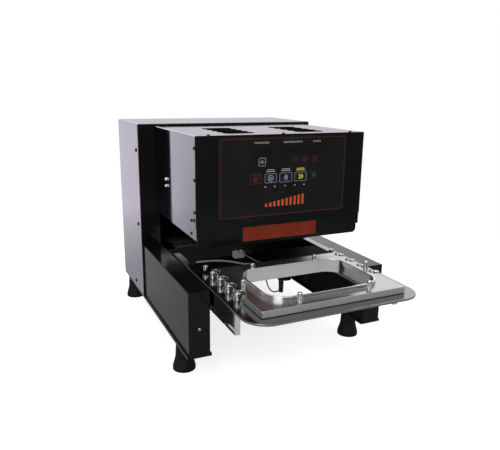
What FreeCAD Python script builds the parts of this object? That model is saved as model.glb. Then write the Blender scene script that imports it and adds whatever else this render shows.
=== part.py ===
"""Table-top tray heat sealer: a drawer with a tray die runs under a heated press head.

Millimetres, +Z up, +Y towards the rear. The origin is on the floor, midway between the drawer's
front edge and the cabinet's rear edge. The drawer is modelled pulled out, as it stands for loading.
"""
import FreeCAD, Part
import math
import os
import re
import Sketcher

Vector = FreeCAD.Vector

# Driving dimensions, one cell each
SIZES = {
    # Rear cabinet
    "cabinet_width": 400.0,
    "cabinet_depth": 188.0,
    "cabinet_height": 368.0,
    "cabinet_front": 137.5,
    "open_length": 651.0,
    "rear_inset": 4.5,
    "metal": 1.5,
    "shell_round": 3.0,
    "portal_drop": 18.0,
    "portal_gap": 4.0,
    "portal_cut": 4.5,
    # Base plates, rails and feet
    "base_thickness": 5.0,
    "base_flange": 3.0,
    "rail_gap": 317.0,
    "rail_width": 38.0,
    "rail_height": 114.0,
    "rail_length": 301.0,
    "rail_round": 1.5,
    "foot_height": 57.0,
    "foot_base": 42.0,
    "foot_top": 28.0,
    "foot_rim": 6.0,
    "foot_waist": 32.0,
    "foot_waist_height": 24.0,
    "foot_curve": 24.0,
    "foot_cup": 20.0,
    "foot_cup_depth": 10.0,
    "foot_outset": 3.5,
    "foot_front": -86.0,
    "foot_rear": 304.0,
    # Press head
    "head_width": 332.0,
    "head_depth": 257.0,
    "head_height": 176.0,
    "head_drop": 4.0,
    "head_round": 2.0,
    "panel_height": 154.0,
    "panel_return": 18.0,
    "skirt_drop": 17.0,
    "skirt_recess": 3.0,
    "skirt_round": 8.0,
    "vent_length": 56.0,
    "vent_width": 22.0,
    "vent_round": 9.9,
    "vent_pitch": 26.5,
    "vent_count": 5,
    "vent_offset": 71.0,
    "vent_start": 41.0,
    # Keypad
    "overlay_width": 255.0,
    "overlay_height": 141.0,
    "overlay_gap": 3.0,
    "overlay_thickness": 0.8,
    "overlay_round": 4.0,
    "key_round": 2.0,
    "key_thickness": 0.9,
    "key_proud": 0.6,
    "key_clearance": 0.3,
    "display_width": 40.0,
    "display_height": 15.0,
    "board_width": 220.0,
    "board_height": 110.0,
    "board_thickness": 1.6,
    "standoff_length": 8.0,
    "standoff_size": 7.0,
    # Drawer and tray die
    "plate_side_gap": 1.5,
    "plate_length": 317.5,
    "plate_thickness": 3.0,
    "plate_rise": 2.0,
    "arm_width": 14.5,
    "arm_length": 58.0,
    "plate_margin": 22.0,
    "plate_round": 40.0,
    "plate_edge": 0.8,
    "block_side_gap": 25.5,
    "block_margin": 20.5,
    "block_rear_margin": 41.5,
    "block_thickness": 11.5,
    "block_round": 2.0,
    "block_step": 1.2,
    "block_step_inset": 1.5,
    "notch_diameter": 21.0,
    "notch_inset": 1.0,
    "tray_length": 203.0,
    "tray_width": 137.0,
    "tray_round": 34.0,
    "ring_wall": 3.0,
    "ring_height": 25.0,
    "ring_rise": 6.5,
    "rim_round": 0.75,
    "ring_seat": 0.1,
    "post_diameter": 8.0,
    "post_height": 18.0,
    "post_chamfer": 0.8,
    "post_gap": 12.5,
    "post_spread": 64.0,
    "post_share": 0.55,
    "bar_thickness": 9.0,
    "bar_height": 37.0,
    "bar_length": 198.0,
    "bar_setback": 64.0,
    "bar_side_gap": 3.5,
    "bar_flange": 4.0,
    "bar_flange_reach": 22.0,
    "groove_depth": 3.0,
    "groove_height": 6.0,
    "groove_rise": 4.0,
    "slide_clearance": 0.3,
    # Heated press
    "press_setback": 101.5,
    "platen_margin": 4.0,
    "platen_thickness": 20.0,
    "platen_drop": 10.0,
    "platen_pad": 10.0,
    "carrier_thickness": 6.0,
    "bridge_rise": 80.0,
    "bridge_thickness": 8.0,
    "bridge_reach": 75.0,
    "guide_diameter": 12.0,
    "guide_length": 116.0,
    "guide_spread_x": 84.0,
    "guide_spread_y": 55.0,
    "bush_diameter": 20.0,
    "bush_flange": 28.0,
    "bush_flange_thickness": 3.0,
    "running_gap": 0.05,
    "ram_diameter": 16.0,
    "ram_length": 118.0,
    "ram_flange": 36.0,
    "ram_flange_thickness": 5.0,
    "actuator_diameter": 56.0,
    "actuator_height": 76.0,
    "actuator_flange": 72.0,
    "actuator_flange_thickness": 8.0,
    "actuator_bore": 64.0,
    "platen_recess": 3.0,
    "platen_land": 8.0,
    "pad_margin": 10.0,
    "carrier_margin": 5.0,
    # Film supply
    "film_axis_back": 96.0,
    "film_axis_rise": 260.0,
    "film_shaft": 20.0,
    "film_diameter": 130.0,
    "film_width": 220.0,
    "film_bracket_gap": 250.0,
    "film_bracket_width": 44.0,
    "film_bracket_thickness": 4.0,
    "film_collar": 32.0,
    "film_collar_length": 8.0,
    "film_play": 0.5,
    "film_shaft_end": 6.0,
    # Rear fittings and supply
    "grille_width": 90.0,
    "grille_slot": 5.0,
    "grille_pitch": 12.0,
    "grille_count": 10,
    "grille_low": 200.0,
    "grille_offset": 75.0,
    "inlet_width": 48.0,
    "inlet_height": 28.0,
    "inlet_body_width": 28.0,
    "inlet_body_height": 21.0,
    "inlet_body_depth": 24.0,
    "inlet_flange": 2.0,
    "inlet_recess": 16.0,
    "inlet_wall": 2.0,
    "inlet_x": 130.0,
    "inlet_rise": 52.0,
    "supply_length": 160.0,
    "supply_width": 98.0,
    "supply_height": 50.0,
    "supply_gap": 6.0,
    # Drawer sensor under the base
    "sensor_x": 134.0,
    "sensor_y": 127.0,
    "sensor_bar_width": 20.0,
    "sensor_bar_thickness": 3.0,
    "sensor_head": 15.0,
    "sensor_head_height": 4.0,
    "sensor_shank": 13.0,
    "sensor_tip": 11.0,
    "sensor_length": 30.0,
    "gland_x": 95.0,
    "gland_size": 12.0,
    "gland_depth": 10.0,
    "gland_bottom": 75.0,
    "lead_diameter": 3.0,
    # Lead of the tray die
    "die_lead_diameter": 3.4,
    "die_gland_x": -44.0,
    "die_gland_rise": 5.0,
    "die_gland_flange": 9.0,
    "die_gland_flange_length": 2.5,
    "die_gland_nose": 6.5,
    "die_gland_length": 8.0,
    "die_plug_x": -138.0,
    "die_plug_back": 185.5,
    "die_plug_size": 12.0,
    "die_plug_height": 8.0,
    # Catch at the back of the drawer plate
    "catch_x": -45.0,
    "catch_rear_gap": 6.5,
    "catch_length": 20.0,
    "catch_width": 14.0,
    "catch_height": 12.0,
    "catch_rod": 2.5,
    "catch_pin": 6.0,
    "catch_pin_height": 8.0,
    "catch_pin_x": -28.0,
    "catch_pin_gap": 73.0,
    # Fasteners
    "plate_bolt_head": 10.0,
    "plate_bolt_neck": 6.5,
    "plate_bolt_height": 12.0,
    "plate_bolt_lift": 4.8,
    "plate_bolt_outset": 3.0,
    "plate_bolt_first": 11.5,
    "plate_bolt_pitch": 36.0,
    "plate_bolt_count": 5,
    "catch_screw": 7.0,
    "catch_screw_height": 3.0,
    "cover_screw": 7.0,
    "cover_screw_height": 1.8,
    "bolt_head": 9.0,
    "bolt_height": 4.0,
    "bolt_back": 169.0,
    "bolt_pitch": 13.0,
    "top_screw_spread": 140.0,
    "top_screw_back": 8.0,
    "rail_screw_rise": 47.5,
}

# Keypad keys: place of each key's middle from the middle of the overlay, width and height
KEYS = {
    "counter": (-45.0, 26.5, 14.0, 15.0),
    "minus": (19.0, 28.5, 13.0, 11.0),
    "set": (39.5, 28.5, 13.0, 11.0),
    "plus": (60.0, 28.5, 13.0, 11.0),
    "power": (-57.0, -2.5, 23.0, 18.0),
    "automatic": (-28.0, -2.5, 24.0, 17.0),
    "manual": (2.0, -2.5, 26.0, 17.5),
    "double": (32.0, -2.5, 25.5, 17.0),
    "start": (60.0, -1.0, 16.0, 16.0),
}
for key, measures in KEYS.items():
    for measure, value in zip(("x", "rise", "width", "height"), measures):
        SIZES["key_%s_%s" % (key, measure)] = value

# Screws on each side of the cabinet: distance behind its front, and above its bottom
CABINET_SCREWS = {"upper": (17.0, 314.0), "middle": (22.0, 156.0), "lower": (66.0, 13.0)}

# Screws on each side of the head: distance behind its front, and above its lower edge
HEAD_SCREWS = {
    "corner": (5.0, 156.0),
    "panel": (5.0, 103.0),
    "fold": (7.0, 48.0),
    "flange": (10.0, 34.0),
    "stay": (24.0, 31.0),
    "skirt": (25.0, 8.0),
}
for group_name, screws in (("cabinet", CABINET_SCREWS), ("head", HEAD_SCREWS)):
    for spot, (back, rise) in screws.items():
        SIZES["%s_%s_back" % (group_name, spot)] = back
        SIZES["%s_%s_rise" % (group_name, spot)] = rise

# Display windows: place of each window's middle from the middle of the overlay
DISPLAYS = {"counter": -46.0, "temperature": 15.0, "time": 66.0}
for display, value in DISPLAYS.items():
    SIZES["display_%s_x" % display] = value
SIZES["display_rise"] = 45.0

doc = FreeCAD.newDocument("tray_sealer")
sheet = doc.addObject("Spreadsheet::Sheet", "sizes")
for row, (alias, value) in enumerate(SIZES.items(), start=1):
    sheet.set("A%d" % row, alias)
    sheet.set("B%d" % row, str(value))
    sheet.setAlias("B%d" % row, alias)
doc.recompute()

SUBPARTS = []


def size(alias):
    """Read one driving dimension from the sheet."""
    return float(sheet.get(alias))


def bound(text):
    """Turn bare size names in an expression into references to the sheet's cells."""
    return re.sub(r"[a-z_]+", lambda word: "sizes." + word.group(0), text)


# Places that several pieces share, written as expressions of the sizes
CABINET_BOTTOM = "(foot_height + base_thickness)"
REAR_FACE = "(cabinet_front + cabinet_depth - rear_inset)"
RAIL_FRONT = "(cabinet_front - rail_length)"
RAIL_TOP = "(foot_height + base_thickness + rail_height)"
HEAD_FRONT = "(cabinet_front - head_depth)"
HEAD_TOP = "(foot_height + base_thickness + cabinet_height - head_drop)"
HEAD_BOTTOM = "(foot_height + base_thickness + cabinet_height - head_drop - head_height)"
PANEL_BOTTOM = "(foot_height + base_thickness + cabinet_height - head_drop - panel_height)"
OVERLAY_MIDDLE = "(%s - overlay_gap - overlay_height / 2)" % HEAD_TOP
DRAWER_FRONT = "(cabinet_front + cabinet_depth - open_length)"
RING_HALF_X = "(tray_length / 2 + ring_wall)"
RING_HALF_Y = "(tray_width / 2 + ring_wall)"
TRAY_SETBACK = "(plate_margin + block_margin + %s)" % RING_HALF_Y
TRAY_CENTRE = "(%s + %s)" % (DRAWER_FRONT, TRAY_SETBACK)
PLATE_HALF = "(rail_gap / 2 - plate_side_gap)"
PLATE_TOP = "(%s + plate_rise)" % RAIL_TOP
BLOCK_HALF = "(%s - block_side_gap)" % PLATE_HALF
BLOCK_TOP = "(%s + block_thickness)" % PLATE_TOP
PRESS_CENTRE = "(cabinet_front - head_depth + press_setback)"
PLATEN_BOTTOM = "(%s - platen_drop)" % HEAD_BOTTOM
BRIDGE_BOTTOM = "(%s + bridge_rise)" % HEAD_BOTTOM
FILM_HEIGHT = "(%s + film_axis_rise)" % CABINET_BOTTOM
SIDES = {"left": -1, "right": 1}


def bind(obj, **properties):
    """Bind properties to expressions; a double underscore in a keyword stands for a dot."""
    for name, text in properties.items():
        obj.setExpression(name.replace("__", "."), bound(text))
    return obj


def place(obj, x="0", y="0", z="0"):
    """Put an object at a bound position."""
    return bind(obj, Placement__Base__x=x, Placement__Base__y=y, Placement__Base__z=z)


def subpart(obj, label):
    """Keep an object as a named piece of the machine."""
    obj.Label = label
    SUBPARTS.append(obj)
    return obj


def box(name, length, width, height, x="0", y="0", z="0"):
    """A block with its low corner at x, y, z."""
    obj = bind(doc.addObject("Part::Box", name), Length=length, Width=width, Height=height)
    return place(obj, x, y, z)


def cylinder(name, radius, height, x="0", y="0", z="0", axis=(0, 0, 1)):
    """A cylinder that starts at x, y, z and runs along an axis."""
    obj = bind(doc.addObject("Part::Cylinder", name), Radius=radius, Height=height)
    obj.Placement.Rotation = FreeCAD.Rotation(Vector(0, 0, 1), Vector(*axis))
    return place(obj, x, y, z)


def fuse(name, shapes):
    """Several solids joined into one."""
    obj = doc.addObject("Part::MultiFuse", name)
    obj.Shapes = shapes
    return obj


def group(name, shapes):
    """Several separate solids kept as one object."""
    obj = doc.addObject("Part::Compound", name)
    obj.Links = shapes
    return obj


def cut(name, base, tools):
    """A solid with other solids taken out of it."""
    obj = doc.addObject("Part::Cut", name)
    obj.Base = base
    obj.Tool = tools[0] if len(tools) == 1 else group(name + "_tools", tools)
    return obj


def new_body(label, x="0", y="0", z="0"):
    """An empty body at a bound position, kept as a named piece."""
    body = subpart(doc.addObject("PartDesign::Body", label), label)
    return place(body, x, y, z)


def new_sketch(body, plane, offset="0"):
    """A sketch on one of the body's own origin planes, moved along the plane's normal."""
    sketch = body.newObject("Sketcher::SketchObject", body.Name + "_sketch")
    support = [f for f in body.Origin.OriginFeatures if f.Role == plane][0]
    sketch.AttachmentSupport = [(support, "")]
    sketch.MapMode = "FlatFace"
    return bind(sketch, AttachmentOffset__Base__z=offset)


def pin_point(sketch, geometry, point, x, y):
    """Hold one point of a sketch at a bound distance from the sketch's origin."""
    for kind, axis, text in (("DistanceX", -2, x), ("DistanceY", -1, y)):
        if text == "0":
            sketch.addConstraint(Sketcher.Constraint("PointOnObject", geometry, point, axis))
        else:
            index = sketch.addConstraint(Sketcher.Constraint(kind, -1, 1, geometry, point, 1.0))
            sketch.setExpression("Constraints[%d]" % index, bound(text))


def outline(sketch, points):
    """A closed outline of straight sides, with every corner bound."""
    count = len(points)
    first = sketch.GeometryCount
    turn = 2 * math.pi / count
    start = [Vector(9 * math.cos(turn * i), 9 * math.sin(turn * i), 0) for i in range(count)]
    for i in range(count):
        sketch.addGeometry(Part.LineSegment(start[i], start[(i + 1) % count]), False)
    for i in range(count):
        following = first + (i + 1) % count
        sketch.addConstraint(Sketcher.Constraint("Coincident", first + i, 2, following, 1))
    for i, (x, y) in enumerate(points):
        pin_point(sketch, first + i, 1, x, y)


def rectangle(sketch, left, right, low, high):
    """A rectangle between four bound sides."""
    outline(sketch, [(left, low), (right, low), (right, high), (left, high)])


def circle(sketch, diameter, x="0", y="0"):
    """A circle of bound diameter and place."""
    index = sketch.addGeometry(Part.Circle(Vector(3, 3, 0), Vector(0, 0, 1), 2.0), False)
    pin_point(sketch, index, 3, x, y)
    constraint = sketch.addConstraint(Sketcher.Constraint("Diameter", index, 4.0))
    sketch.setExpression("Constraints[%d]" % constraint, bound(diameter))


def pad(body, sketch, length, back=False):
    """Push a sketch out into a solid."""
    feature = body.newObject("PartDesign::Pad", body.Name + "_pad")
    feature.Profile = sketch
    feature.Reversed = back
    return bind(feature, Length=length)


def pocket(body, sketch, length, back=False):
    """Cut a sketch into the body, and stop if nothing was taken away."""
    doc.recompute()
    before = body.Shape.Volume
    feature = body.newObject("PartDesign::Pocket", body.Name + "_pocket")
    feature.Profile = sketch
    feature.Reversed = back
    bind(feature, Length=length)
    doc.recompute()
    if body.Shape.Volume > before - 1e-6:
        raise RuntimeError("pocket cuts nothing: " + body.Label)
    return feature


def revolve(body, sketch):
    """Turn a sketch about its own vertical axis."""
    feature = body.newObject("PartDesign::Revolution", body.Name + "_turned")
    feature.Profile = sketch
    feature.ReferenceAxis = (sketch, ["V_Axis"])
    feature.Angle = 360.0
    return feature


def fillet(body, radius, chosen):
    """Round the edges of a body that a test of the edge and the body's limits picks out."""
    doc.recompute()
    tip = body.Tip
    limits = tip.Shape.BoundBox
    edges = ["Edge%d" % (i + 1) for i, edge in enumerate(tip.Shape.Edges) if chosen(edge, limits)]
    feature = body.newObject("PartDesign::Fillet", body.Name + "_round")
    feature.Base = (tip, edges)
    return bind(feature, Radius=radius)


def repeat(body, feature, direction, length, count):
    """Repeat a feature along one axis of the body; length is the whole span."""
    pattern = body.newObject("PartDesign::LinearPattern", body.Name + "_pattern")
    pattern.Originals = [feature]
    axis = [f for f in body.Origin.OriginFeatures if f.Role == direction][0]
    pattern.Direction = (axis, [""])
    bind(pattern, Length=length, Occurrences=count)
    body.Tip = pattern
    return pattern


def runs_along(edge, axis):
    """True for a straight edge that runs along an axis, 0 to 2."""
    ends = [vertex.Point for vertex in edge.Vertexes]
    if len(ends) != 2 or not isinstance(edge.Curve, Part.Line):
        return False
    step = ends[1] - ends[0]
    return abs(step[axis]) > 0.999 * step.Length


def at_height(edge, axis, value, slack=0.01):
    """True where the middle of an edge stands at a value along an axis."""
    return abs(edge.BoundBox.Center[axis] - value) < slack


def turned(name, steps, x="0", y="0", z="0", axis=(0, 0, 1)):
    """A turned pin or head: cylinders and cones stacked along an axis.

    Each step is its two radii and its height; the steps follow one another from x, y, z.
    """
    pieces = []
    start = "0"
    for number, (low, high, height) in enumerate(steps):
        kind = "Part::Cylinder" if low == high else "Part::Cone"
        piece = doc.addObject(kind, "%s_step%d" % (name, number))
        if low == high:
            bind(piece, Radius=low, Height=height)
        else:
            bind(piece, Radius1=low, Radius2=high, Height=height)
        pieces.append(bind(piece, Placement__Base__z=start))
        start = "%s + %s" % (start, height)
    joined = fuse(name, pieces) if len(pieces) > 1 else pieces[0]
    joined.Placement.Rotation = FreeCAD.Rotation(Vector(0, 0, 1), Vector(*axis))
    return place(joined, x, y, z)


def wrap_outline(sketch, width, height):
    """The section of a sheet folded down over both sides, open at the bottom."""
    outline(sketch, [
        ("-%s / 2" % width, "0"),
        ("-%s / 2" % width, height),
        ("%s / 2" % width, height),
        ("%s / 2" % width, "0"),
        ("%s / 2 - metal" % width, "0"),
        ("%s / 2 - metal" % width, "%s - metal" % height),
        ("-%s / 2 + metal" % width, "%s - metal" % height),
        ("-%s / 2 + metal" % width, "0"),
    ])


def top_fold(edge, limits):
    """The long upper edges of a folded sheet that runs front to back."""
    return runs_along(edge, 1) and at_height(edge, 2, limits.ZMax)


def inner_upright(edge, limits):
    """Upright edges that stand inside the outer sides."""
    middle = edge.BoundBox.Center
    inside_x = limits.XMin + 1 < middle.x < limits.XMax - 1
    inside_y = limits.YMin + 1 < middle.y < limits.YMax - 1
    return runs_along(edge, 2) and inside_x and inside_y


def outer_upright(edge, limits):
    """Upright edges at the outer corners."""
    at_x = at_height(edge, 0, limits.XMin) or at_height(edge, 0, limits.XMax)
    at_y = at_height(edge, 1, limits.YMin) or at_height(edge, 1, limits.YMax)
    return runs_along(edge, 2) and at_x and at_y


# Base: plates, rails and feet
for side, sign in SIDES.items():
    middle = "%d * (rail_gap + rail_width) / 2" % sign

    plate = box(
        "base_plate_" + side,
        "rail_width + 2 * base_flange",
        "rail_length + cabinet_depth",
        "base_thickness",
        middle + " - rail_width / 2 - base_flange",
        RAIL_FRONT,
        "foot_height",
    )
    subpart(plate, "base_plate_" + side)

    rail = new_body("rail_" + side, middle, RAIL_FRONT, CABINET_BOTTOM)
    section = new_sketch(rail, "XY_Plane")
    rectangle(section, "-rail_width / 2", "rail_width / 2", "0", "rail_length")
    pad(rail, section, "rail_height")
    fillet(rail, "rail_round", top_fold)
    hollow = new_sketch(rail, "XY_Plane")
    rectangle(hollow, "-rail_width / 2 + metal", "rail_width / 2 - metal", "metal", "rail_length - metal")
    pocket(rail, hollow, "rail_height - metal", back=True)

    for end in ("front", "rear"):
        foot_middle = "%s + %d * foot_outset" % (middle, sign)
        foot = new_body("foot_%s_%s" % (end, side), foot_middle, "foot_" + end)
        profile = new_sketch(foot, "XZ_Plane")
        outline(profile, [
            ("foot_cup / 2", "0"),
            ("foot_base / 2", "0"),
            ("foot_base / 2", "foot_rim"),
            ("foot_waist / 2", "foot_waist_height"),
            ("foot_top / 2", "foot_height"),
            ("0", "foot_height"),
            ("0", "foot_cup_depth"),
            ("foot_cup / 2", "foot_cup_depth"),
        ])
        revolve(foot, profile)
        waist = size("foot_waist_height")
        fillet(
            foot,
            "foot_curve",
            lambda edge, limits: at_height(edge, 2, waist) and not runs_along(edge, 2),
        )

# Rear cabinet
shell = new_body("cabinet_shell", "0", "cabinet_front", CABINET_BOTTOM)
section = new_sketch(shell, "XZ_Plane")
wrap_outline(section, "cabinet_width", "cabinet_height")
pad(shell, section, "cabinet_depth", back=True)
fillet(shell, "shell_round", top_fold)

front_sheet = box(
    "front_sheet",
    "cabinet_width - 2 * metal",
    "metal",
    "cabinet_height - metal",
    "-cabinet_width / 2 + metal",
    "cabinet_front",
    CABINET_BOTTOM,
)
portal = box(
    "portal",
    "rail_gap",
    "portal_cut",
    "%s - portal_gap - %s + portal_drop" % (HEAD_BOTTOM, PLATE_TOP),
    "-rail_gap / 2",
    "cabinet_front - metal",
    PLATE_TOP + " - portal_drop",
)
subpart(cut("cabinet_front_panel", front_sheet, [portal]), "cabinet_front_panel")

rear_panel = new_body("cabinet_rear_panel", "0", REAR_FACE, CABINET_BOTTOM)
section = new_sketch(rear_panel, "XZ_Plane")
CABINET_INSIDE = "(cabinet_width / 2 - metal)"
rectangle(section, "-" + CABINET_INSIDE, CABINET_INSIDE, "metal", "cabinet_height - metal")
pad(rear_panel, section, "metal")
opening = new_sketch(rear_panel, "XZ_Plane")
rectangle(
    opening,
    "inlet_x - inlet_body_width / 2 - ring_seat",
    "inlet_x + inlet_body_width / 2 + ring_seat",
    "inlet_rise - inlet_body_height / 2 - ring_seat",
    "inlet_rise + inlet_body_height / 2 + ring_seat",
)
pocket(rear_panel, opening, "metal", back=True)
slots = new_sketch(rear_panel, "XZ_Plane")
for sign in SIDES.values():
    rectangle(
        slots,
        "%d * grille_offset - grille_width / 2" % sign,
        "%d * grille_offset + grille_width / 2" % sign,
        "grille_low",
        "grille_low + grille_slot",
    )
slot_cut = pocket(rear_panel, slots, "metal", back=True)
repeat(rear_panel, slot_cut, "Z_Axis", "(grille_count - 1) * grille_pitch", "grille_count")

floor = box(
    "cabinet_floor",
    "cabinet_width - 2 * metal",
    "cabinet_depth - rear_inset - metal",
    "metal",
    "-cabinet_width / 2 + metal",
    "cabinet_front + metal",
    CABINET_BOTTOM,
)
subpart(floor, "cabinet_floor")

# Power inlet in the rear panel, a flange with a recessed socket
inlet_flange = box(
    "inlet_plate",
    "inlet_width",
    "inlet_flange",
    "inlet_height",
    "inlet_x - inlet_width / 2",
    REAR_FACE,
    CABINET_BOTTOM + " + inlet_rise - inlet_height / 2",
)
inlet_body = box(
    "inlet_housing",
    "inlet_body_width",
    "inlet_body_depth",
    "inlet_body_height",
    "inlet_x - inlet_body_width / 2",
    REAR_FACE + " - inlet_body_depth",
    CABINET_BOTTOM + " + inlet_rise - inlet_body_height / 2",
)
inlet_socket = box(
    "inlet_socket",
    "inlet_body_width - 2 * inlet_wall",
    "inlet_recess + inlet_flange",
    "inlet_body_height - 2 * inlet_wall",
    "inlet_x - inlet_body_width / 2 + inlet_wall",
    REAR_FACE + " - inlet_recess",
    CABINET_BOTTOM + " + inlet_rise - inlet_body_height / 2 + inlet_wall",
)
inlet_solid = fuse("inlet_solid", [inlet_flange, inlet_body])
subpart(cut("power_inlet", inlet_solid, [inlet_socket]), "power_inlet")

supply = box(
    "power_supply",
    "supply_length",
    "supply_width",
    "supply_height",
    "-supply_length / 2",
    REAR_FACE + " - supply_width - supply_gap",
    CABINET_BOTTOM + " + metal",
)
subpart(supply, "power_supply")

# Press head: folded cover with two slotted vents, front panel and skirt
cover = new_body("head_cover", "0", HEAD_FRONT + " + metal", HEAD_BOTTOM)
section = new_sketch(cover, "XZ_Plane")
wrap_outline(section, "head_width", "head_height")
pad(cover, section, "head_depth - metal", back=True)
fillet(cover, "head_round", top_fold)
vents = new_sketch(cover, "XY_Plane", "head_height")
for sign in SIDES.values():
    rectangle(
        vents,
        "%d * vent_offset - vent_length / 2" % sign,
        "%d * vent_offset + vent_length / 2" % sign,
        "vent_start - vent_width / 2",
        "vent_start + vent_width / 2",
    )
vent_cut = pocket(cover, vents, "metal")
repeat(cover, vent_cut, "Y_Axis", "(vent_count - 1) * vent_pitch", "vent_count")
fillet(cover, "vent_round", inner_upright)

panel = new_body("head_front_panel", "0", HEAD_FRONT, PANEL_BOTTOM)
face = new_sketch(panel, "XZ_Plane")
rectangle(face, "-head_width / 2", "head_width / 2", "0", "panel_height")
pad(panel, face, "metal", back=True)
fillet(panel, "head_round", top_fold)
returns = new_sketch(panel, "XZ_Plane", "-metal")
wrap_outline(returns, "(head_width - 2 * metal)", "(panel_height - metal)")
pad(panel, returns, "panel_return", back=True)

skirt = new_body("head_skirt", "0", HEAD_FRONT + " + skirt_recess", HEAD_BOTTOM + " - skirt_drop")
face = new_sketch(skirt, "XZ_Plane")
SKIRT_SIDE = "head_width / 2 - 2 * metal - 2 * key_clearance"
SKIRT_TOP = "head_height + skirt_drop - panel_height + skirt_round"
rectangle(face, "-(%s)" % SKIRT_SIDE, SKIRT_SIDE, "0", SKIRT_TOP)
pad(skirt, face, "metal", back=True)
fillet(skirt, "skirt_round", lambda edge, limits: runs_along(edge, 1) and at_height(edge, 2, limits.ZMin))
flanges = new_sketch(skirt, "XZ_Plane", "-metal")
rectangle(flanges, "-(%s)" % SKIRT_SIDE, "-(%s) + metal" % SKIRT_SIDE, "skirt_drop", SKIRT_TOP)
rectangle(flanges, "%s - metal" % SKIRT_SIDE, SKIRT_SIDE, "skirt_drop", SKIRT_TOP)
pad(skirt, flanges, "panel_return", back=True)

# Keypad: overlay with a window for each key and display, keys, displays and the board behind
overlay = new_body("keypad_overlay", "0", HEAD_FRONT, OVERLAY_MIDDLE)
face = new_sketch(overlay, "XZ_Plane")
rectangle(face, "-overlay_width / 2", "overlay_width / 2", "-overlay_height / 2", "overlay_height / 2")
pad(overlay, face, "overlay_thickness")
fillet(overlay, "overlay_round", lambda edge, limits: runs_along(edge, 1))
windows = new_sketch(overlay, "XZ_Plane")
for key in KEYS:
    rectangle(
        windows,
        "key_%s_x - key_%s_width / 2 - key_clearance" % (key, key),
        "key_%s_x + key_%s_width / 2 + key_clearance" % (key, key),
        "key_%s_rise - key_%s_height / 2 - key_clearance" % (key, key),
        "key_%s_rise + key_%s_height / 2 + key_clearance" % (key, key),
    )
for display in DISPLAYS:
    rectangle(
        windows,
        "display_%s_x - display_width / 2" % display,
        "display_%s_x + display_width / 2" % display,
        "display_rise - display_height / 2",
        "display_rise + display_height / 2",
    )
pocket(overlay, windows, "overlay_thickness", back=True)

for key in KEYS:
    cap = new_body(
        "key_" + key,
        "key_%s_x" % key,
        HEAD_FRONT + " - overlay_thickness - key_proud + key_thickness",
        OVERLAY_MIDDLE + " + key_%s_rise" % key,
    )
    face = new_sketch(cap, "XZ_Plane")
    half_width = "key_%s_width / 2" % key
    half_height = "key_%s_height / 2" % key
    rectangle(face, "-" + half_width, half_width, "-" + half_height, half_height)
    pad(cap, face, "key_thickness")
    fillet(cap, "key_round", lambda edge, limits: runs_along(edge, 1))

lenses = []
for display in DISPLAYS:
    lenses.append(box(
        "lens_" + display,
        "display_width",
        "overlay_thickness",
        "display_height",
        "display_%s_x - display_width / 2" % display,
        HEAD_FRONT + " - overlay_thickness",
        OVERLAY_MIDDLE + " + display_rise - display_height / 2",
    ))
subpart(group("display_windows", lenses), "display_windows")

board = box(
    "control_board",
    "board_width",
    "board_thickness",
    "board_height",
    "-board_width / 2",
    HEAD_FRONT + " + metal + standoff_length",
    OVERLAY_MIDDLE + " - board_height / 2",
)
subpart(board, "control_board")
standoffs = []
for row in (-1, 1):
    for side, sign in SIDES.items():
        standoffs.append(cylinder(
            "standoff_%s_%d" % (side, row + 1),
            "standoff_size / 2",
            "standoff_length",
            "%d * (board_width / 2 - standoff_size)" % sign,
            HEAD_FRONT + " + metal",
            OVERLAY_MIDDLE + " + %d * (board_height / 2 - standoff_size)" % row,
            (0, 1, 0),
        ))
subpart(group("board_standoffs", standoffs), "board_standoffs")


def tray_opening(body, plane_offset, growth, depth, back):
    """Cut the tray's rounded outline, grown on every side, through a body of the drawer."""
    sketch = new_sketch(body, "XY_Plane", plane_offset)
    half_length = "tray_length / 2 + " + growth
    half_width = "tray_width / 2 + " + growth
    rectangle(sketch, "-(%s)" % half_length, half_length, "-(%s)" % half_width, half_width)
    pocket(body, sketch, depth, back)
    fillet(body, "tray_round + " + growth, inner_upright)


# Drawer: sliding plate, die block and tray ring, all measured from the tray's middle
RING_GROWTH = "ring_wall + ring_seat"
plate = new_body("drawer_plate", "0", TRAY_CENTRE, PLATE_TOP + " - plate_thickness")
section = new_sketch(plate, "XY_Plane")
PLATE_REAR = "plate_length - " + TRAY_SETBACK
rectangle(section, "-" + PLATE_HALF, PLATE_HALF, "-" + TRAY_SETBACK, PLATE_REAR)
pad(plate, section, "plate_thickness")
fillet(plate, "plate_round", lambda edge, limits: runs_along(edge, 2) and at_height(edge, 1, limits.YMin))
tray_opening(plate, "0", RING_GROWTH, "plate_thickness", True)

# Two arms run on behind the plate, one along each rail
arms = new_sketch(plate, "XY_Plane")
for sign in SIDES.values():
    outside = "%d * %s" % (sign, PLATE_HALF)
    inside = "%d * (%s - arm_width)" % (sign, PLATE_HALF)
    rectangle(arms, inside, outside, PLATE_REAR, PLATE_REAR + " + arm_length")
pad(plate, arms, "plate_thickness")
fillet(plate, "plate_edge", lambda edge, limits: at_height(edge, 2, limits.ZMax))

BLOCK_FRONT = "-(%s + block_margin)" % RING_HALF_Y
BLOCK_REAR = "(%s + block_rear_margin)" % RING_HALF_Y
block = new_body("die_block", "0", TRAY_CENTRE, PLATE_TOP)
section = new_sketch(block, "XY_Plane")
rectangle(section, "-" + BLOCK_HALF, BLOCK_HALF, BLOCK_FRONT, BLOCK_REAR)
pad(block, section, "block_thickness")
fillet(block, "block_round", outer_upright)
tray_opening(block, "0", RING_GROWTH, "block_thickness", True)

BOLT_ROW = ["%d * plate_bolt_pitch - plate_bolt_first" % n for n in range(int(size("plate_bolt_count")))]
notches = new_sketch(block, "XY_Plane")
for sign in SIDES.values():
    for y in BOLT_ROW[:-1]:
        circle(notches, "notch_diameter", "%d * (%s - notch_inset)" % (sign, BLOCK_HALF), y)
pocket(block, notches, "block_thickness", back=True)
fillet(block, "plate_edge", lambda edge, limits: at_height(edge, 2, limits.ZMax))

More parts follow.
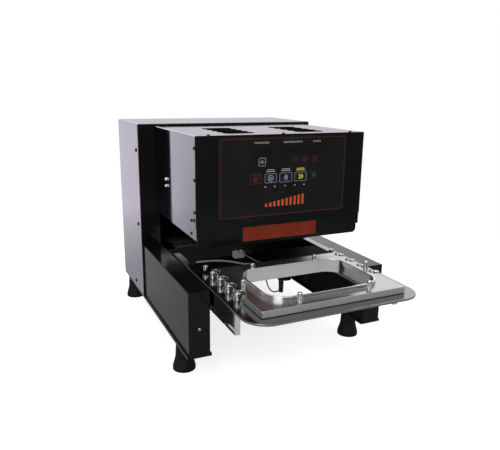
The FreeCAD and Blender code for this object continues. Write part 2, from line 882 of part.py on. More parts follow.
# A low step round the block's foot, cut as a frame between two outlines
step = new_sketch(block, "XY_Plane")
for reach in ("+ block_step_inset", "- block_step_inset"):
    half = "(%s %s)" % (BLOCK_HALF, reach)
    rectangle(
        step,
        "-" + half,
        half,
        "-(%s + block_margin %s)" % (RING_HALF_Y, reach),
        "%s %s" % (BLOCK_REAR, reach),
    )
pocket(block, step, "block_step", back=True)

ring = new_body("tray_ring", "0", TRAY_CENTRE, BLOCK_TOP + " + ring_rise - ring_height")
section = new_sketch(ring, "XY_Plane")
rectangle(
    section,
    "-" + RING_HALF_X,
    RING_HALF_X,
    "-" + RING_HALF_Y,
    RING_HALF_Y,
)
pad(ring, section, "ring_height")
tray_opening(ring, "0", "0", "ring_height", True)
fillet(ring, "tray_round + ring_wall", outer_upright)
fillet(ring, "rim_round", lambda edge, limits: at_height(edge, 2, limits.ZMax))

# Locating posts round the tray ring
POST_STEPS = [
    ("post_diameter / 2", "post_diameter / 2", "post_height - post_chamfer"),
    ("post_diameter / 2", "post_diameter / 2 - post_chamfer", "post_chamfer"),
]
POST_REACH = "(%s + post_gap)" % RING_HALF_Y
POST_SIDE = "(%s + post_share * (%s - %s))" % (RING_HALF_X, BLOCK_HALF, RING_HALF_X)
posts = []
for side, sign in SIDES.items():
    places = {
        "front": ("%d * post_spread" % sign, "%s - %s" % (TRAY_CENTRE, POST_REACH)),
        "rear": ("%d * post_spread" % sign, "%s + %s" % (TRAY_CENTRE, POST_REACH)),
        "end": ("%d * %s" % (sign, POST_SIDE), TRAY_CENTRE),
    }
    for spot, (x, y) in places.items():
        posts.append(turned("post_%s_%s" % (spot, side), POST_STEPS, x, y, BLOCK_TOP))
subpart(group("locating_posts", posts), "locating_posts")

# Cap screws in the block's notches, which hold the plate to its slide bars
PLATE_BOLT_STEPS = [
    ("plate_bolt_neck / 2", "plate_bolt_neck / 2", "plate_bolt_lift"),
    ("plate_bolt_head / 2", "plate_bolt_head / 2", "plate_bolt_height - plate_bolt_lift - post_chamfer"),
    ("plate_bolt_head / 2", "plate_bolt_head / 2 - post_chamfer", "post_chamfer"),
]
drawer_bolts = []
for side, sign in SIDES.items():
    x = "%d * (%s + plate_bolt_outset)" % (sign, BLOCK_HALF)
    for number, y in enumerate(BOLT_ROW):
        name = "plate_bolt_%s_%d" % (side, number)
        drawer_bolts.append(turned(name, PLATE_BOLT_STEPS, x, "%s + %s" % (TRAY_CENTRE, y), PLATE_TOP))

# Slide bars under the plate, flanged for its screws and grooved for a guide strip on the rail
BAR_BOTTOM = "(%s - plate_thickness - bar_height)" % PLATE_TOP
for side, sign in SIDES.items():
    bar = new_body("slide_bar_" + side, "0", DRAWER_FRONT + " + bar_setback", BAR_BOTTOM)
    section = new_sketch(bar, "XZ_Plane")
    outer = "%d * (rail_gap / 2 - bar_side_gap)" % sign
    inner = "%d * (rail_gap / 2 - bar_side_gap - bar_thickness)" % sign
    lip = "%d * (rail_gap / 2 - bar_side_gap - bar_thickness - bar_flange_reach)" % sign
    root = "%d * (rail_gap / 2 - bar_side_gap - groove_depth)" % sign
    outline(section, [
        (inner, "0"),
        (outer, "0"),
        (outer, "groove_rise"),
        (root, "groove_rise"),
        (root, "groove_rise + groove_height"),
        (outer, "groove_rise + groove_height"),
        (outer, "bar_height"),
        (lip, "bar_height"),
        (lip, "bar_height - bar_flange"),
        (inner, "bar_height - bar_flange"),
    ])
    pad(bar, section, "bar_length", back=True)

    strip_width = "bar_side_gap + groove_depth - slide_clearance"
    strip_edge = "rail_gap / 2 - (%s)" % strip_width if sign > 0 else "-rail_gap / 2"
    strip = box(
        "guide_strip_" + side,
        strip_width,
        "rail_length",
        "groove_height - 2 * slide_clearance",
        strip_edge,
        RAIL_FRONT,
        BAR_BOTTOM + " + groove_rise + slide_clearance",
    )
    subpart(strip, "guide_strip_" + side)

# Catch block at the back of the plate, with its rod and end pin
CATCH_REAR = DRAWER_FRONT + " + plate_length - catch_rear_gap"
catch = box(
    "catch_block",
    "catch_length",
    "catch_width",
    "catch_height",
    "catch_x - catch_length / 2",
    CATCH_REAR + " - catch_width",
    PLATE_TOP,
)
subpart(catch, "catch_block")
for side, sign in SIDES.items():
    drawer_bolts.append(turned(
        "catch_screw_" + side,
        [("catch_screw / 2", "catch_screw / 3", "catch_screw_height")],
        "catch_x + %d * catch_length / 4" % sign,
        CATCH_REAR + " - catch_width / 2",
        PLATE_TOP + " + catch_height",
    ))
subpart(group("drawer_bolts", drawer_bolts), "drawer_bolts")
PIN_Y = DRAWER_FRONT + " + plate_length - catch_pin_gap"
catch_pin = turned(
    "catch_pin",
    [
        ("catch_pin / 2", "catch_pin / 2", "catch_pin_height - post_chamfer"),
        ("catch_pin / 2", "catch_pin / 2 - post_chamfer", "post_chamfer"),
    ],
    "catch_pin_x",
    PIN_Y,
    PLATE_TOP,
)

plate_level = size("foot_height") + size("base_thickness") + size("rail_height") + size("plate_rise")
plate_rear = size("cabinet_front") + size("cabinet_depth") - size("open_length") + size("plate_length")
rod_start = Vector(
    size("catch_x") + size("catch_length") / 4,
    plate_rear - size("catch_rear_gap") - size("catch_width") - size("slide_clearance"),
    plate_level + size("catch_height") - size("catch_rod"),
)
rod_end = Vector(
    size("catch_pin_x"),
    plate_rear - size("catch_pin_gap") + size("catch_pin") / 2 + size("slide_clearance"),
    plate_level + size("catch_pin_height") / 2,
)
rod_line = rod_end - rod_start
rod = doc.addObject("Part::Feature", "slanted_rod")
rod.Shape = Part.makeCylinder(size("catch_rod") / 2, rod_line.Length, Vector(0, 0, 0), rod_line)
rod.Placement.Base = rod_start
subpart(group("catch_rod", [rod, catch_pin]), "catch_rod")

# Heated press: platen, insulation and carrier move on four guide rods under a fixed bridge
PLATEN_X = "(%s + platen_margin)" % RING_HALF_X
PLATEN_Y = "(%s + platen_margin)" % RING_HALF_Y
platen = new_body("heat_platen", "0", PRESS_CENTRE, PLATEN_BOTTOM)
section = new_sketch(platen, "XY_Plane")
rectangle(section, "-" + PLATEN_X, PLATEN_X, "-" + PLATEN_Y, PLATEN_Y)
pad(platen, section, "platen_thickness")
fillet(platen, "tray_round", outer_upright)
recess = new_sketch(platen, "XY_Plane")
RECESS_X = "tray_length / 2 - platen_land"
RECESS_Y = "tray_width / 2 - platen_land"
rectangle(recess, "-(%s)" % RECESS_X, RECESS_X, "-(%s)" % RECESS_Y, RECESS_Y)
pocket(platen, recess, "platen_recess", back=True)
fillet(platen, "tray_round - platen_land", inner_upright)

PAD_BOTTOM = "(%s + platen_thickness)" % PLATEN_BOTTOM
CARRIER_TOP = "(%s + platen_pad + carrier_thickness)" % PAD_BOTTOM
insulation = box(
    "platen_insulation",
    "2 * (%s - pad_margin)" % PLATEN_X,
    "2 * (%s - pad_margin)" % PLATEN_Y,
    "platen_pad",
    "pad_margin - %s" % PLATEN_X,
    "%s - %s + pad_margin" % (PRESS_CENTRE, PLATEN_Y),
    PAD_BOTTOM,
)
subpart(insulation, "platen_insulation")
carrier = box(
    "platen_carrier",
    "2 * (%s - carrier_margin)" % PLATEN_X,
    "2 * (%s - carrier_margin)" % PLATEN_Y,
    "carrier_thickness",
    "carrier_margin - %s" % PLATEN_X,
    "%s - %s + carrier_margin" % (PRESS_CENTRE, PLATEN_Y),
    PAD_BOTTOM + " + platen_pad",
)
subpart(carrier, "platen_carrier")

guide_rods = []
guide_bushes = []
bridge_holes = []
BUSH_STEPS = [
    ("bush_diameter / 2", "bush_diameter / 2", "bridge_thickness"),
    ("bush_flange / 2", "bush_flange / 2", "bush_flange_thickness"),
]
for side, sign in SIDES.items():
    for end, turn in (("front", -1), ("rear", 1)):
        name = "%s_%s" % (end, side)
        spot = ("%d * guide_spread_x" % sign, PRESS_CENTRE + " + %d * guide_spread_y" % turn)
        rod = cylinder("rod_" + name, "guide_diameter / 2", "guide_length", *spot, CARRIER_TOP)
        guide_rods.append(rod)
        sleeve = turned("sleeve_" + name, BUSH_STEPS, *spot, BRIDGE_BOTTOM)
        bore = cylinder(
            "bore_" + name,
            "guide_diameter / 2 + running_gap",
            "bridge_thickness + bush_flange_thickness",
            *spot,
            BRIDGE_BOTTOM,
        )
        guide_bushes.append(cut("bush_" + name, sleeve, [bore]))
        bridge_holes.append(cylinder(
            "seat_" + name,
            "bush_diameter / 2 + running_gap",
            "bridge_thickness",
            *spot,
            BRIDGE_BOTTOM,
        ))
subpart(group("guide_rods", guide_rods), "guide_rods")
subpart(group("guide_bushes", guide_bushes), "guide_bushes")

bridge_holes.append(cylinder(
    "ram_hole", "ram_diameter / 2 + metal", "bridge_thickness", "0", PRESS_CENTRE, BRIDGE_BOTTOM))
bridge_plate = box(
    "bridge_plate",
    "head_width - 2 * metal",
    "head_depth - press_setback + bridge_reach",
    "bridge_thickness",
    "-head_width / 2 + metal",
    PRESS_CENTRE + " - bridge_reach",
    BRIDGE_BOTTOM,
)
subpart(cut("press_bridge", bridge_plate, bridge_holes), "press_bridge")

ACTUATOR_STEPS = [
    ("actuator_flange / 2", "actuator_flange / 2", "actuator_flange_thickness"),
    ("actuator_diameter / 2", "actuator_diameter / 2", "actuator_height - 2 * actuator_flange_thickness"),
    (
        "actuator_diameter / 2",
        "actuator_diameter / 2 - actuator_flange_thickness",
        "actuator_flange_thickness",
    ),
]
BRIDGE_TOP = BRIDGE_BOTTOM + " + bridge_thickness"
housing = turned("actuator_housing", ACTUATOR_STEPS, "0", PRESS_CENTRE, BRIDGE_TOP)
ram_bore = cylinder(
    "ram_bore", "ram_diameter / 2 + running_gap", "actuator_bore", "0", PRESS_CENTRE, BRIDGE_TOP)
subpart(cut("press_actuator", housing, [ram_bore]), "press_actuator")
RAM_STEPS = [
    ("ram_flange / 2", "ram_flange / 2", "ram_flange_thickness"),
    ("ram_diameter / 2", "ram_diameter / 2", "ram_length - ram_flange_thickness"),
]
subpart(turned("press_ram", RAM_STEPS, "0", PRESS_CENTRE, CARRIER_TOP), "press_ram")

# Film supply in the cabinet: open-topped brackets, shouldered shaft and the film roll
FILM_Y = "cabinet_front + film_axis_back"
brackets = []
for side, sign in SIDES.items():
    edge = "film_bracket_gap / 2" if sign > 0 else "-film_bracket_gap / 2 - film_bracket_thickness"
    web = box(
        "bracket_web_" + side,
        "film_bracket_thickness",
        "film_axis_back - metal + film_bracket_width / 2",
        "film_bracket_width",
        edge,
        "cabinet_front + metal",
        FILM_HEIGHT + " - film_bracket_width / 2",
    )
    seat = cylinder(
        "bracket_seat_" + side,
        "film_shaft / 2 + running_gap",
        "film_bracket_thickness",
        edge,
        FILM_Y,
        FILM_HEIGHT,
        (1, 0, 0),
    )
    mouth = box(
        "bracket_mouth_" + side,
        "film_bracket_thickness",
        "film_shaft + 2 * running_gap",
        "film_bracket_width",
        edge,
        FILM_Y + " - film_shaft / 2 - running_gap",
        FILM_HEIGHT,
    )
    brackets.append(cut("bracket_" + side, web, [fuse("bracket_notch_" + side, [seat, mouth])]))
subpart(group("film_brackets", brackets), "film_brackets")

SHAFT_HALF = "(film_bracket_gap / 2 + film_bracket_thickness + film_shaft_end)"
SHAFT_TAIL = SHAFT_HALF + " - film_width / 2 - film_play - film_collar_length"
JOURNAL = "film_shaft / 2"
COLLAR = "film_collar / 2"
SHAFT_STEPS = [
    (JOURNAL, JOURNAL, SHAFT_TAIL),
    (COLLAR, COLLAR, "film_collar_length"),
    (JOURNAL, JOURNAL, "film_width + 2 * film_play"),
    (COLLAR, COLLAR, "film_collar_length"),
    (JOURNAL, JOURNAL, SHAFT_TAIL),
]
shaft = turned("film_shaft", SHAFT_STEPS, "-" + SHAFT_HALF, FILM_Y, FILM_HEIGHT, (1, 0, 0))
subpart(shaft, "film_shaft")
wound = cylinder(
    "wound_film", "film_diameter / 2", "film_width", "-film_width / 2", FILM_Y, FILM_HEIGHT, (1, 0, 0))
core = cylinder(
    "film_bore",
    "film_shaft / 2 + running_gap",
    "film_width",
    "-film_width / 2",
    FILM_Y,
    FILM_HEIGHT,
    (1, 0, 0),
)
subpart(cut("film_roll", wound, [core]), "film_roll")

# Drawer sensor: a bar on the right base plate, the sensor under it and a gland for its lead
sensor_bar = box(
    "sensor_bracket",
    "rail_gap / 2 - base_flange - sensor_x + sensor_bar_width / 2",
    "sensor_bar_width",
    "sensor_bar_thickness",
    "sensor_x - sensor_bar_width / 2",
    "sensor_y - sensor_bar_width / 2",
    "foot_height",
)
subpart(sensor_bar, "sensor_bracket")
SENSOR_STEPS = [
    ("sensor_head / 2", "sensor_head / 2", "sensor_head_height"),
    ("sensor_shank / 2", "sensor_tip / 2", "sensor_length"),
]
sensor = turned("drawer_sensor", SENSOR_STEPS, "sensor_x", "sensor_y", "foot_height", (0, 0, -1))
subpart(sensor, "drawer_sensor")
gland = box(
    "lead_gland",
    "gland_size",
    "gland_depth",
    "gland_size",
    "gland_x - gland_size / 2",
    "cabinet_front - gland_depth",
    "gland_bottom",
)
subpart(gland, "lead_gland")

# Fittings of the die's lead: a gland on the block's rear and a plug on the plate
die_gland = turned(
    "die_gland",
    [
        ("die_gland_flange / 2", "die_gland_flange / 2", "die_gland_flange_length"),
        ("die_gland_nose / 2", "die_gland_nose / 2", "die_gland_length - die_gland_flange_length"),
    ],
    "die_gland_x",
    "%s + %s" % (TRAY_CENTRE, BLOCK_REAR),
    PLATE_TOP + " + die_gland_rise",
    (0, 1, 0),
)
die_plug = box(
    "die_plug",
    "die_plug_size",
    "die_plug_size",
    "die_plug_height",
    "die_plug_x - die_plug_size",
    TRAY_CENTRE + " + die_plug_back - die_plug_size / 2",
    PLATE_TOP,
)
subpart(group("die_lead_fittings", [die_gland, die_plug]), "die_lead_fittings")

# The sensor's lead hangs from its flank and rises to the gland, in the machine's own frame
SENSOR_LEAD_ROUTE = [
    (127.9, 127.0, 27.0),
    (119.0, 127.0, 24.0),
    (109.0, 127.5, 27.5),
    (101.0, 129.0, 38.0),
    (96.5, 131.0, 52.0),
    (95.0, 132.5, 64.0),
    (95.0, 132.5, 75.0),
]

# The die's lead lies on the plate in one bend, measured from the tray's middle and the plate's top
DIE_LEAD_ROUTE = [
    (-44.0, 121.0, 5.0),
    (-44.0, 128.0, 5.0),
    (-51.0, 137.5, 2.2),
    (-62.0, 151.5, 2.0),
    (-73.0, 165.5, 2.0),
    (-87.0, 176.5, 2.0),
    (-104.0, 182.5, 2.0),
    (-122.0, 185.5, 2.0),
    (-138.0, 185.5, 2.0),
]
RUN_SHARE = 0.45


def cord_wire(points):
    """Straight runs joined by tangent arcs, each as large as its two runs allow."""
    edges = []
    radii = []
    start = points[0]
    for before, corner, after in zip(points, points[1:], points[2:]):
        arriving = (corner - before).normalize()
        leaving = (after - corner).normalize()
        half_turn = arriving.getAngle(leaving) / 2
        reach = RUN_SHARE * min((corner - before).Length, (after - corner).Length)
        radius = reach / math.tan(half_turn)
        inward = (leaving - arriving).normalize()
        first = corner - arriving * reach
        middle = corner + inward * (radius / math.cos(half_turn) - radius)
        last = corner + leaving * reach
        edges.append(Part.LineSegment(start, first).toShape())
        edges.append(Part.Arc(first, middle, last).toShape())
        radii.append(radius)
        start = last
    edges.append(Part.LineSegment(start, points[-1]).toShape())
    print("lead bend radii, mm:", ", ".join("%.1f" % radius for radius in radii))
    return Part.Wire(edges)


def lead_along(name, route, diameter):
    """A round lead swept along a route, kept as a named piece."""
    points = [Vector(*point) for point in route]
    line = cord_wire(points)
    section = Part.makeCircle(size(diameter) / 2, points[0], points[1] - points[0])
    lead = doc.addObject("Part::Feature", name)
    lead.Shape = line.makePipeShell([Part.Wire([section])], True, False)
    ratio = lead.Shape.Volume / (math.pi * size(diameter) ** 2 / 4 * line.Length)
    print("%s length %.1f mm, volume ratio %.4f" % (name, line.Length, ratio))
    return subpart(lead, name)


lead_along("sensor_lead", SENSOR_LEAD_ROUTE, "lead_diameter")
place(lead_along("die_lead", DIE_LEAD_ROUTE, "die_lead_diameter"), "0", TRAY_CENTRE, PLATE_TOP)

# Screw heads on the covers, and the bolts that carry the bridge
SCREW_STEPS = [("cover_screw / 2", "cover_screw / 3", "cover_screw_height")]
BOLT_STEPS = [
    ("bolt_head / 2", "bolt_head / 2", "bolt_height - post_chamfer"),
    ("bolt_head / 2", "bolt_head / 2 - post_chamfer", "post_chamfer"),
]
screws = []
bolts = []
for side, sign in SIDES.items():
    outward = (sign, 0, 0)
    for spot in CABINET_SCREWS:
        screws.append(turned(
            "cabinet_screw_%s_%s" % (spot, side),
            SCREW_STEPS,
            "%d * cabinet_width / 2" % sign,
            "cabinet_front + cabinet_%s_back" % spot,
            CABINET_BOTTOM + " + cabinet_%s_rise" % spot,
            outward,
        ))
    for spot in HEAD_SCREWS:
        screws.append(turned(
            "head_screw_%s_%s" % (spot, side),
            SCREW_STEPS,
            "%d * head_width / 2" % sign,
            HEAD_FRONT + " + head_%s_back" % spot,
            HEAD_BOTTOM + " + head_%s_rise" % spot,
            outward,
        ))
    screws.append(turned(
        "rail_screw_" + side,
        SCREW_STEPS,
        "%d * (rail_gap + rail_width) / 2" % sign,
        RAIL_FRONT,
        CABINET_BOTTOM + " + rail_screw_rise",
        (0, -1, 0),
    ))
    for number in range(2):
        bolts.append(turned(
            "bridge_bolt_%s_%d" % (side, number),
            BOLT_STEPS,
            "%d * head_width / 2" % sign,
            HEAD_FRONT + " + bolt_back",
            "%s - %d * bolt_pitch" % (BRIDGE_BOTTOM, number),
            outward,
        ))
for spot in (-1, 0, 1):
    screws.append(turned(
        "top_screw_%d" % (spot + 1),
        SCREW_STEPS,
        "%d * top_screw_spread" % spot,
        HEAD_FRONT + " + top_screw_back",
        HEAD_TOP,
    ))
subpart(group("cover_screws", screws), "cover_screws")
subpart(group("bridge_bolts", bolts), "bridge_bolts")


def check_and_write():
    """Stop on any failed object or bad shape, then write one file for each piece."""
    doc.recompute()
    failed = [obj.Label for obj in doc.Objects if "Invalid" in obj.State or "Error" in obj.State]
    if failed:
        raise RuntimeError("failed objects: " + ", ".join(failed))
    for obj in SUBPARTS:
        if obj.Shape.isNull() or not obj.Shape.isValid() or not obj.Shape.Solids:
            raise RuntimeError("bad shape: " + obj.Label)
    os.makedirs("parts", exist_ok=True)
    for obj in SUBPARTS:
        obj.Shape.exportStep("parts/%s.step" % obj.Label)
        print("%-22s %2d solids %10.1f mm3" % (obj.Label, len(obj.Shape.Solids), obj.Shape.Volume))


check_and_write()
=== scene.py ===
"""The looks of a table-top tray sealer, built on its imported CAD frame.

Lengths are in metres, apart from the prints, which are drawn in millimetres.
The floor is at z = 0 and the front at -Y.
"""

import math

import bmesh
import bpy
from mathutils import Matrix, Vector


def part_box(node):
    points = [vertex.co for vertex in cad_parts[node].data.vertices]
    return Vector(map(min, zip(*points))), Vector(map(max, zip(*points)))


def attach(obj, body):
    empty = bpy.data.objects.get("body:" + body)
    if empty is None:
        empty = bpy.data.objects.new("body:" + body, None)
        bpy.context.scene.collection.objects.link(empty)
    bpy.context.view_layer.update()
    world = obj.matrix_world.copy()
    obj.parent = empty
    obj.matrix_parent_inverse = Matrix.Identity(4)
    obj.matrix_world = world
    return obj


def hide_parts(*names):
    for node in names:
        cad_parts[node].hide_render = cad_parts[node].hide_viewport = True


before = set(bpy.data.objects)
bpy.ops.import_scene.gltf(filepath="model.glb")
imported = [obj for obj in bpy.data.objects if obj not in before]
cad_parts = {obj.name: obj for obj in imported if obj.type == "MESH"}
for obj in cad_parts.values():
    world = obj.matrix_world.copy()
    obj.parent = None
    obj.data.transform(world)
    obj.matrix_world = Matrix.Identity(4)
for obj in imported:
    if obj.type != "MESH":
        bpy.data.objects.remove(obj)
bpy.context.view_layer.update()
MM = 0.001
AXES = (Vector((1.0, 0.0, 0.0)), Vector((0.0, 1.0, 0.0)), Vector((0.0, 0.0, 1.0)))


# Camera, at the photograph's angle

CAMERA_PLACE = Vector((-0.44489, -0.93278, 0.49912))
CAMERA_YAW = math.radians(24.97)
CAMERA_PITCH = math.radians(14.39)
CAMERA_ROLL = math.radians(0.74)
FOCAL_PIXELS = 526.63
IMAGE_WIDTH = 500
SENSOR_WIDTH = 36.0


def make_camera():
    """A level camera turned towards +X by the yaw, tipped down by the pitch and leaned by the roll."""
    data = bpy.data.cameras.new("camera")
    data.sensor_fit = "HORIZONTAL"
    data.sensor_width = SENSOR_WIDTH
    data.lens = FOCAL_PIXELS / IMAGE_WIDTH * SENSOR_WIDTH
    camera = bpy.data.objects.new("camera", data)
    bpy.context.scene.collection.objects.link(camera)
    level = math.cos(CAMERA_PITCH)
    ahead = Vector((math.sin(CAMERA_YAW) * level, math.cos(CAMERA_YAW) * level, -math.sin(CAMERA_PITCH)))
    right = Vector((math.cos(CAMERA_YAW), -math.sin(CAMERA_YAW), 0.0))
    up = right.cross(ahead)
    leaned_right = math.cos(CAMERA_ROLL) * right + math.sin(CAMERA_ROLL) * up
    leaned_up = leaned_right.cross(ahead)
    turn = Matrix((leaned_right, leaned_up, -ahead)).transposed().to_4x4()
    camera.matrix_world = Matrix.Translation(CAMERA_PLACE) @ turn
    bpy.context.scene.camera = camera


# Stage: a white backdrop behind the machine, a darker room in front of it, a pale floor and lamps

WHITE = (1.0, 1.0, 1.0, 1.0)

# Level of the room as light, and in reflections from behind the camera to the middle of the backdrop
AMBIENT = 0.55
BACKDROP_YAW = math.radians(19.0)
ROOM_LEVELS = ((0.0, 0.16), (0.45, 0.22), (0.865, 0.54), (0.915, 1.0))
NEW_STOP = 0.5

# Share of that level below the horizon, at it and above it, by the upward part of a ray's direction
PAPER_SHARE = 0.9
PAPER_DOWN_TO = -0.02
HORIZON_FROM = 0.03
HORIZON_SHARE = 0.68
HORIZON_UP_TO = 0.08
BACKDROP_SHARE = 1.4
BACKDROP_FROM = 0.28
CEILING_FROM = 0.45
CEILING_FULL = 0.85
CEILING_LEVEL = 0.95

FLOOR_RADIUS = 2.5
FLOOR_SIDES = 96
FLOOR_CENTRE = (-0.1, -0.1, 0.0)
FLOOR_COLOUR = (0.43, 0.43, 0.43, 1.0)
FLOOR_LIFT = 0.79
FLOOR_GLOSS_LIFT = 0.04
FLOOR_BOUNCE = 0.35
PAPER_FROM = 0.65
PAPER_FULL = 1.45

LAMPS = {
    "key_lamp": {"place": (-1.5, -1.7, 2.1), "size": 1.2, "power": 24.0},
    "fill_lamp": {"place": (1.9, -1.2, 1.6), "size": 1.4, "power": 12.0},
    "top_lamp": {"place": (0.0, 0.4, 2.4), "size": 2.0, "power": 18.0},
    "front_lamp": {"place": (-1.8, -1.8, 0.92), "size": 1.8, "power": 18.0},
}
LAMP_AIM = Vector((0.0, 0.0, 0.2))


def math_node(tree, operation, first, second):
    """One arithmetic node. Either side is a socket or a number."""
    node = tree.nodes.new("ShaderNodeMath")
    node.operation = operation
    for socket, value in zip(node.inputs, (first, second)):
        if isinstance(value, (int, float)):
            socket.default_value = value
        else:
            tree.links.new(value, socket)
    return node.outputs["Value"]


def span(tree, factor, low, high, start=0.0, end=1.0):
    """A number that goes from low to high, which may be sockets, as the factor goes from start to end."""
    reach = tree.nodes.new("ShaderNodeMapRange")
    reach.inputs["From Min"].default_value = start
    reach.inputs["From Max"].default_value = end
    for name, value in (("To Min", low), ("To Max", high)):
        if isinstance(value, (int, float)):
            reach.inputs[name].default_value = value
        else:
            tree.links.new(value, reach.inputs[name])
    tree.links.new(factor, reach.inputs["Value"])
    return reach.outputs["Result"]


def ray_kinds(tree):
    """Sockets that are one for rays that see the background itself, and for glossy rays alone."""
    path = tree.nodes.new("ShaderNodeLightPath")
    camera = path.outputs["Is Camera Ray"]
    straight = math_node(tree, "MAXIMUM", camera, path.outputs["Is Transmission Ray"])
    return straight, path.outputs["Is Glossy Ray"]


def room_level(tree, direction):
    """How bright the room is in a direction: white towards the backdrop, dark behind the camera."""
    level = tree.nodes.new("ShaderNodeVectorMath")
    level.operation = "DOT_PRODUCT"
    level.inputs[1].default_value = (math.sin(BACKDROP_YAW), math.cos(BACKDROP_YAW), 0.0)
    tree.links.new(direction, level.inputs[0])
    ramp = tree.nodes.new("ShaderNodeValToRGB")
    stops = ramp.color_ramp.elements
    while len(stops) < len(ROOM_LEVELS):
        stops.new(NEW_STOP)
    for stop, (position, brightness) in zip(stops, ROOM_LEVELS):
        stop.position = position
        stop.color = (brightness, brightness, brightness, 1.0)
    tree.links.new(span(tree, level.outputs["Value"], 0.0, 1.0, -1.0, 1.0), ramp.inputs["Fac"])
    return ramp.outputs["Color"]


def make_world():
    """White to the camera, the room in reflections, and softer as light."""
    world = bpy.data.worlds.new("studio")
    world.use_nodes = True
    tree = world.node_tree
    background = tree.nodes["Background"]
    background.inputs["Color"].default_value = WHITE
    place = tree.nodes.new("ShaderNodeTexCoord")
    parts = tree.nodes.new("ShaderNodeSeparateXYZ")
    tree.links.new(place.outputs["Generated"], parts.inputs["Vector"])
    level = room_level(tree, place.outputs["Generated"])
    ceiling = span(tree, parts.outputs["Z"], 0.0, CEILING_LEVEL, CEILING_FROM, CEILING_FULL)
    low = span(tree, parts.outputs["Z"], PAPER_SHARE, HORIZON_SHARE, PAPER_DOWN_TO, HORIZON_FROM)
    height = span(tree, parts.outputs["Z"], low, BACKDROP_SHARE, HORIZON_UP_TO, BACKDROP_FROM)
    room = math_node(tree, "MAXIMUM", math_node(tree, "MULTIPLY", level, height), ceiling)
    straight, glossy = ray_kinds(tree)
    reflected = span(tree, glossy, AMBIENT, room)
    tree.links.new(span(tree, straight, reflected, 1.0), background.inputs["Strength"])
    bpy.context.scene.world = world


def make_floor():
    """A pale disc that keeps the shadow near the machine and turns into white paper further out."""
    material = bpy.data.materials.new("floor_paper")
    material.use_nodes = True
    tree = material.node_tree
    tree.nodes.remove(tree.nodes["Principled BSDF"])
    straight, glossy = ray_kinds(tree)
    near = tree.nodes.new("ShaderNodeAddShader")
    board = tree.nodes.new("ShaderNodeBsdfDiffuse")
    board.inputs["Color"].default_value = FLOOR_COLOUR
    lift = tree.nodes.new("ShaderNodeEmission")
    lift.inputs["Color"].default_value = WHITE
    gloss_lift = span(tree, glossy, 0.0, FLOOR_GLOSS_LIFT)
    tree.links.new(span(tree, straight, gloss_lift, FLOOR_LIFT), lift.inputs["Strength"])
    tree.links.new(board.outputs["BSDF"], near.inputs[0])
    tree.links.new(lift.outputs["Emission"], near.inputs[1])
    paper = tree.nodes.new("ShaderNodeEmission")
    paper.inputs["Color"].default_value = WHITE
    place = tree.nodes.new("ShaderNodeTexCoord")
    distance = tree.nodes.new("ShaderNodeVectorMath")
    distance.operation = "LENGTH"
    tree.links.new(place.outputs["Object"], distance.inputs[0])
    outward = tree.nodes.new("ShaderNodeVectorMath")
    outward.operation = "NORMALIZE"
    tree.links.new(place.outputs["Object"], outward.inputs[0])
    far = math_node(tree, "MULTIPLY", room_level(tree, outward.outputs["Vector"]), PAPER_SHARE)
    unseen = span(tree, glossy, FLOOR_BOUNCE, far)
    tree.links.new(span(tree, straight, unseen, 1.0), paper.inputs["Strength"])
    both = tree.nodes.new("ShaderNodeMixShader")
    fade = span(tree, distance.outputs["Value"], 0.0, 1.0, PAPER_FROM, PAPER_FULL)
    tree.links.new(fade, both.inputs["Fac"])
    tree.links.new(near.outputs["Shader"], both.inputs[1])
    tree.links.new(paper.outputs["Emission"], both.inputs[2])
    tree.links.new(both.outputs["Shader"], tree.nodes["Material Output"].inputs["Surface"])
    shape = bmesh.new()
    bmesh.ops.create_circle(shape, cap_ends=True, segments=FLOOR_SIDES, radius=FLOOR_RADIUS)
    mesh = bpy.data.meshes.new("floor")
    shape.to_mesh(mesh)
    shape.free()
    mesh.materials.append(material)
    floor = bpy.data.objects.new("floor", mesh)
    floor.location = FLOOR_CENTRE
    bpy.context.scene.collection.objects.link(floor)


def make_lamps():
    """Square lamps that all face the machine."""
    for name, lamp in LAMPS.items():
        data = bpy.data.lights.new(name, "AREA")
        data.size = lamp["size"]
        data.energy = lamp["power"]
        made = bpy.data.objects.new(name, data)
        bpy.context.scene.collection.objects.link(made)
        place = Vector(lamp["place"])
        made.location = place
        made.rotation_mode = "QUATERNION"
        made.rotation_quaternion = (LAMP_AIM - place).to_track_quat("-Z", "Y")


# Node helpers for the finishes

EVEN = (1.0, 1.0, 1.0)
GRAIN_DETAIL = 4.0
SHADE_FROM = 0.35
SHADE_TO = 0.65

# Sockets of a colour mix node, whose names are shared with its other kinds
MIX_FIRST = 6
MIX_SECOND = 7
MIX_RESULT = 2


def new_finish(name):
    """A new material, its node tree and its shader."""
    material = bpy.data.materials.new(name)
    material.use_nodes = True
    tree = material.node_tree
    return material, tree, tree.nodes["Principled BSDF"]


def grain(tree, scale, stretch=EVEN, detail=GRAIN_DETAIL):
    """Noise in the part's own frame. A stretch below one draws it out along that axis."""
    place = tree.nodes.new("ShaderNodeTexCoord")
    mapping = tree.nodes.new("ShaderNodeMapping")
    mapping.inputs["Scale"].default_value = stretch
    noise = tree.nodes.new("ShaderNodeTexNoise")
    noise.inputs["Scale"].default_value = scale
    noise.inputs["Detail"].default_value = detail
    tree.links.new(place.outputs["Object"], mapping.inputs["Vector"])
    tree.links.new(mapping.outputs["Vector"], noise.inputs["Vector"])
    return noise.outputs["Fac"]


def shades(tree, factor, dark, light):
    """A colour that goes from dark to light with the factor."""
    ramp = tree.nodes.new("ShaderNodeValToRGB")
    ramp.color_ramp.elements[0].position = SHADE_FROM
    ramp.color_ramp.elements[0].color = (*dark, 1.0)
    ramp.color_ramp.elements[1].position = SHADE_TO
    ramp.color_ramp.elements[1].color = (*light, 1.0)
    tree.links.new(factor, ramp.inputs["Fac"])
    return ramp.outputs["Color"]


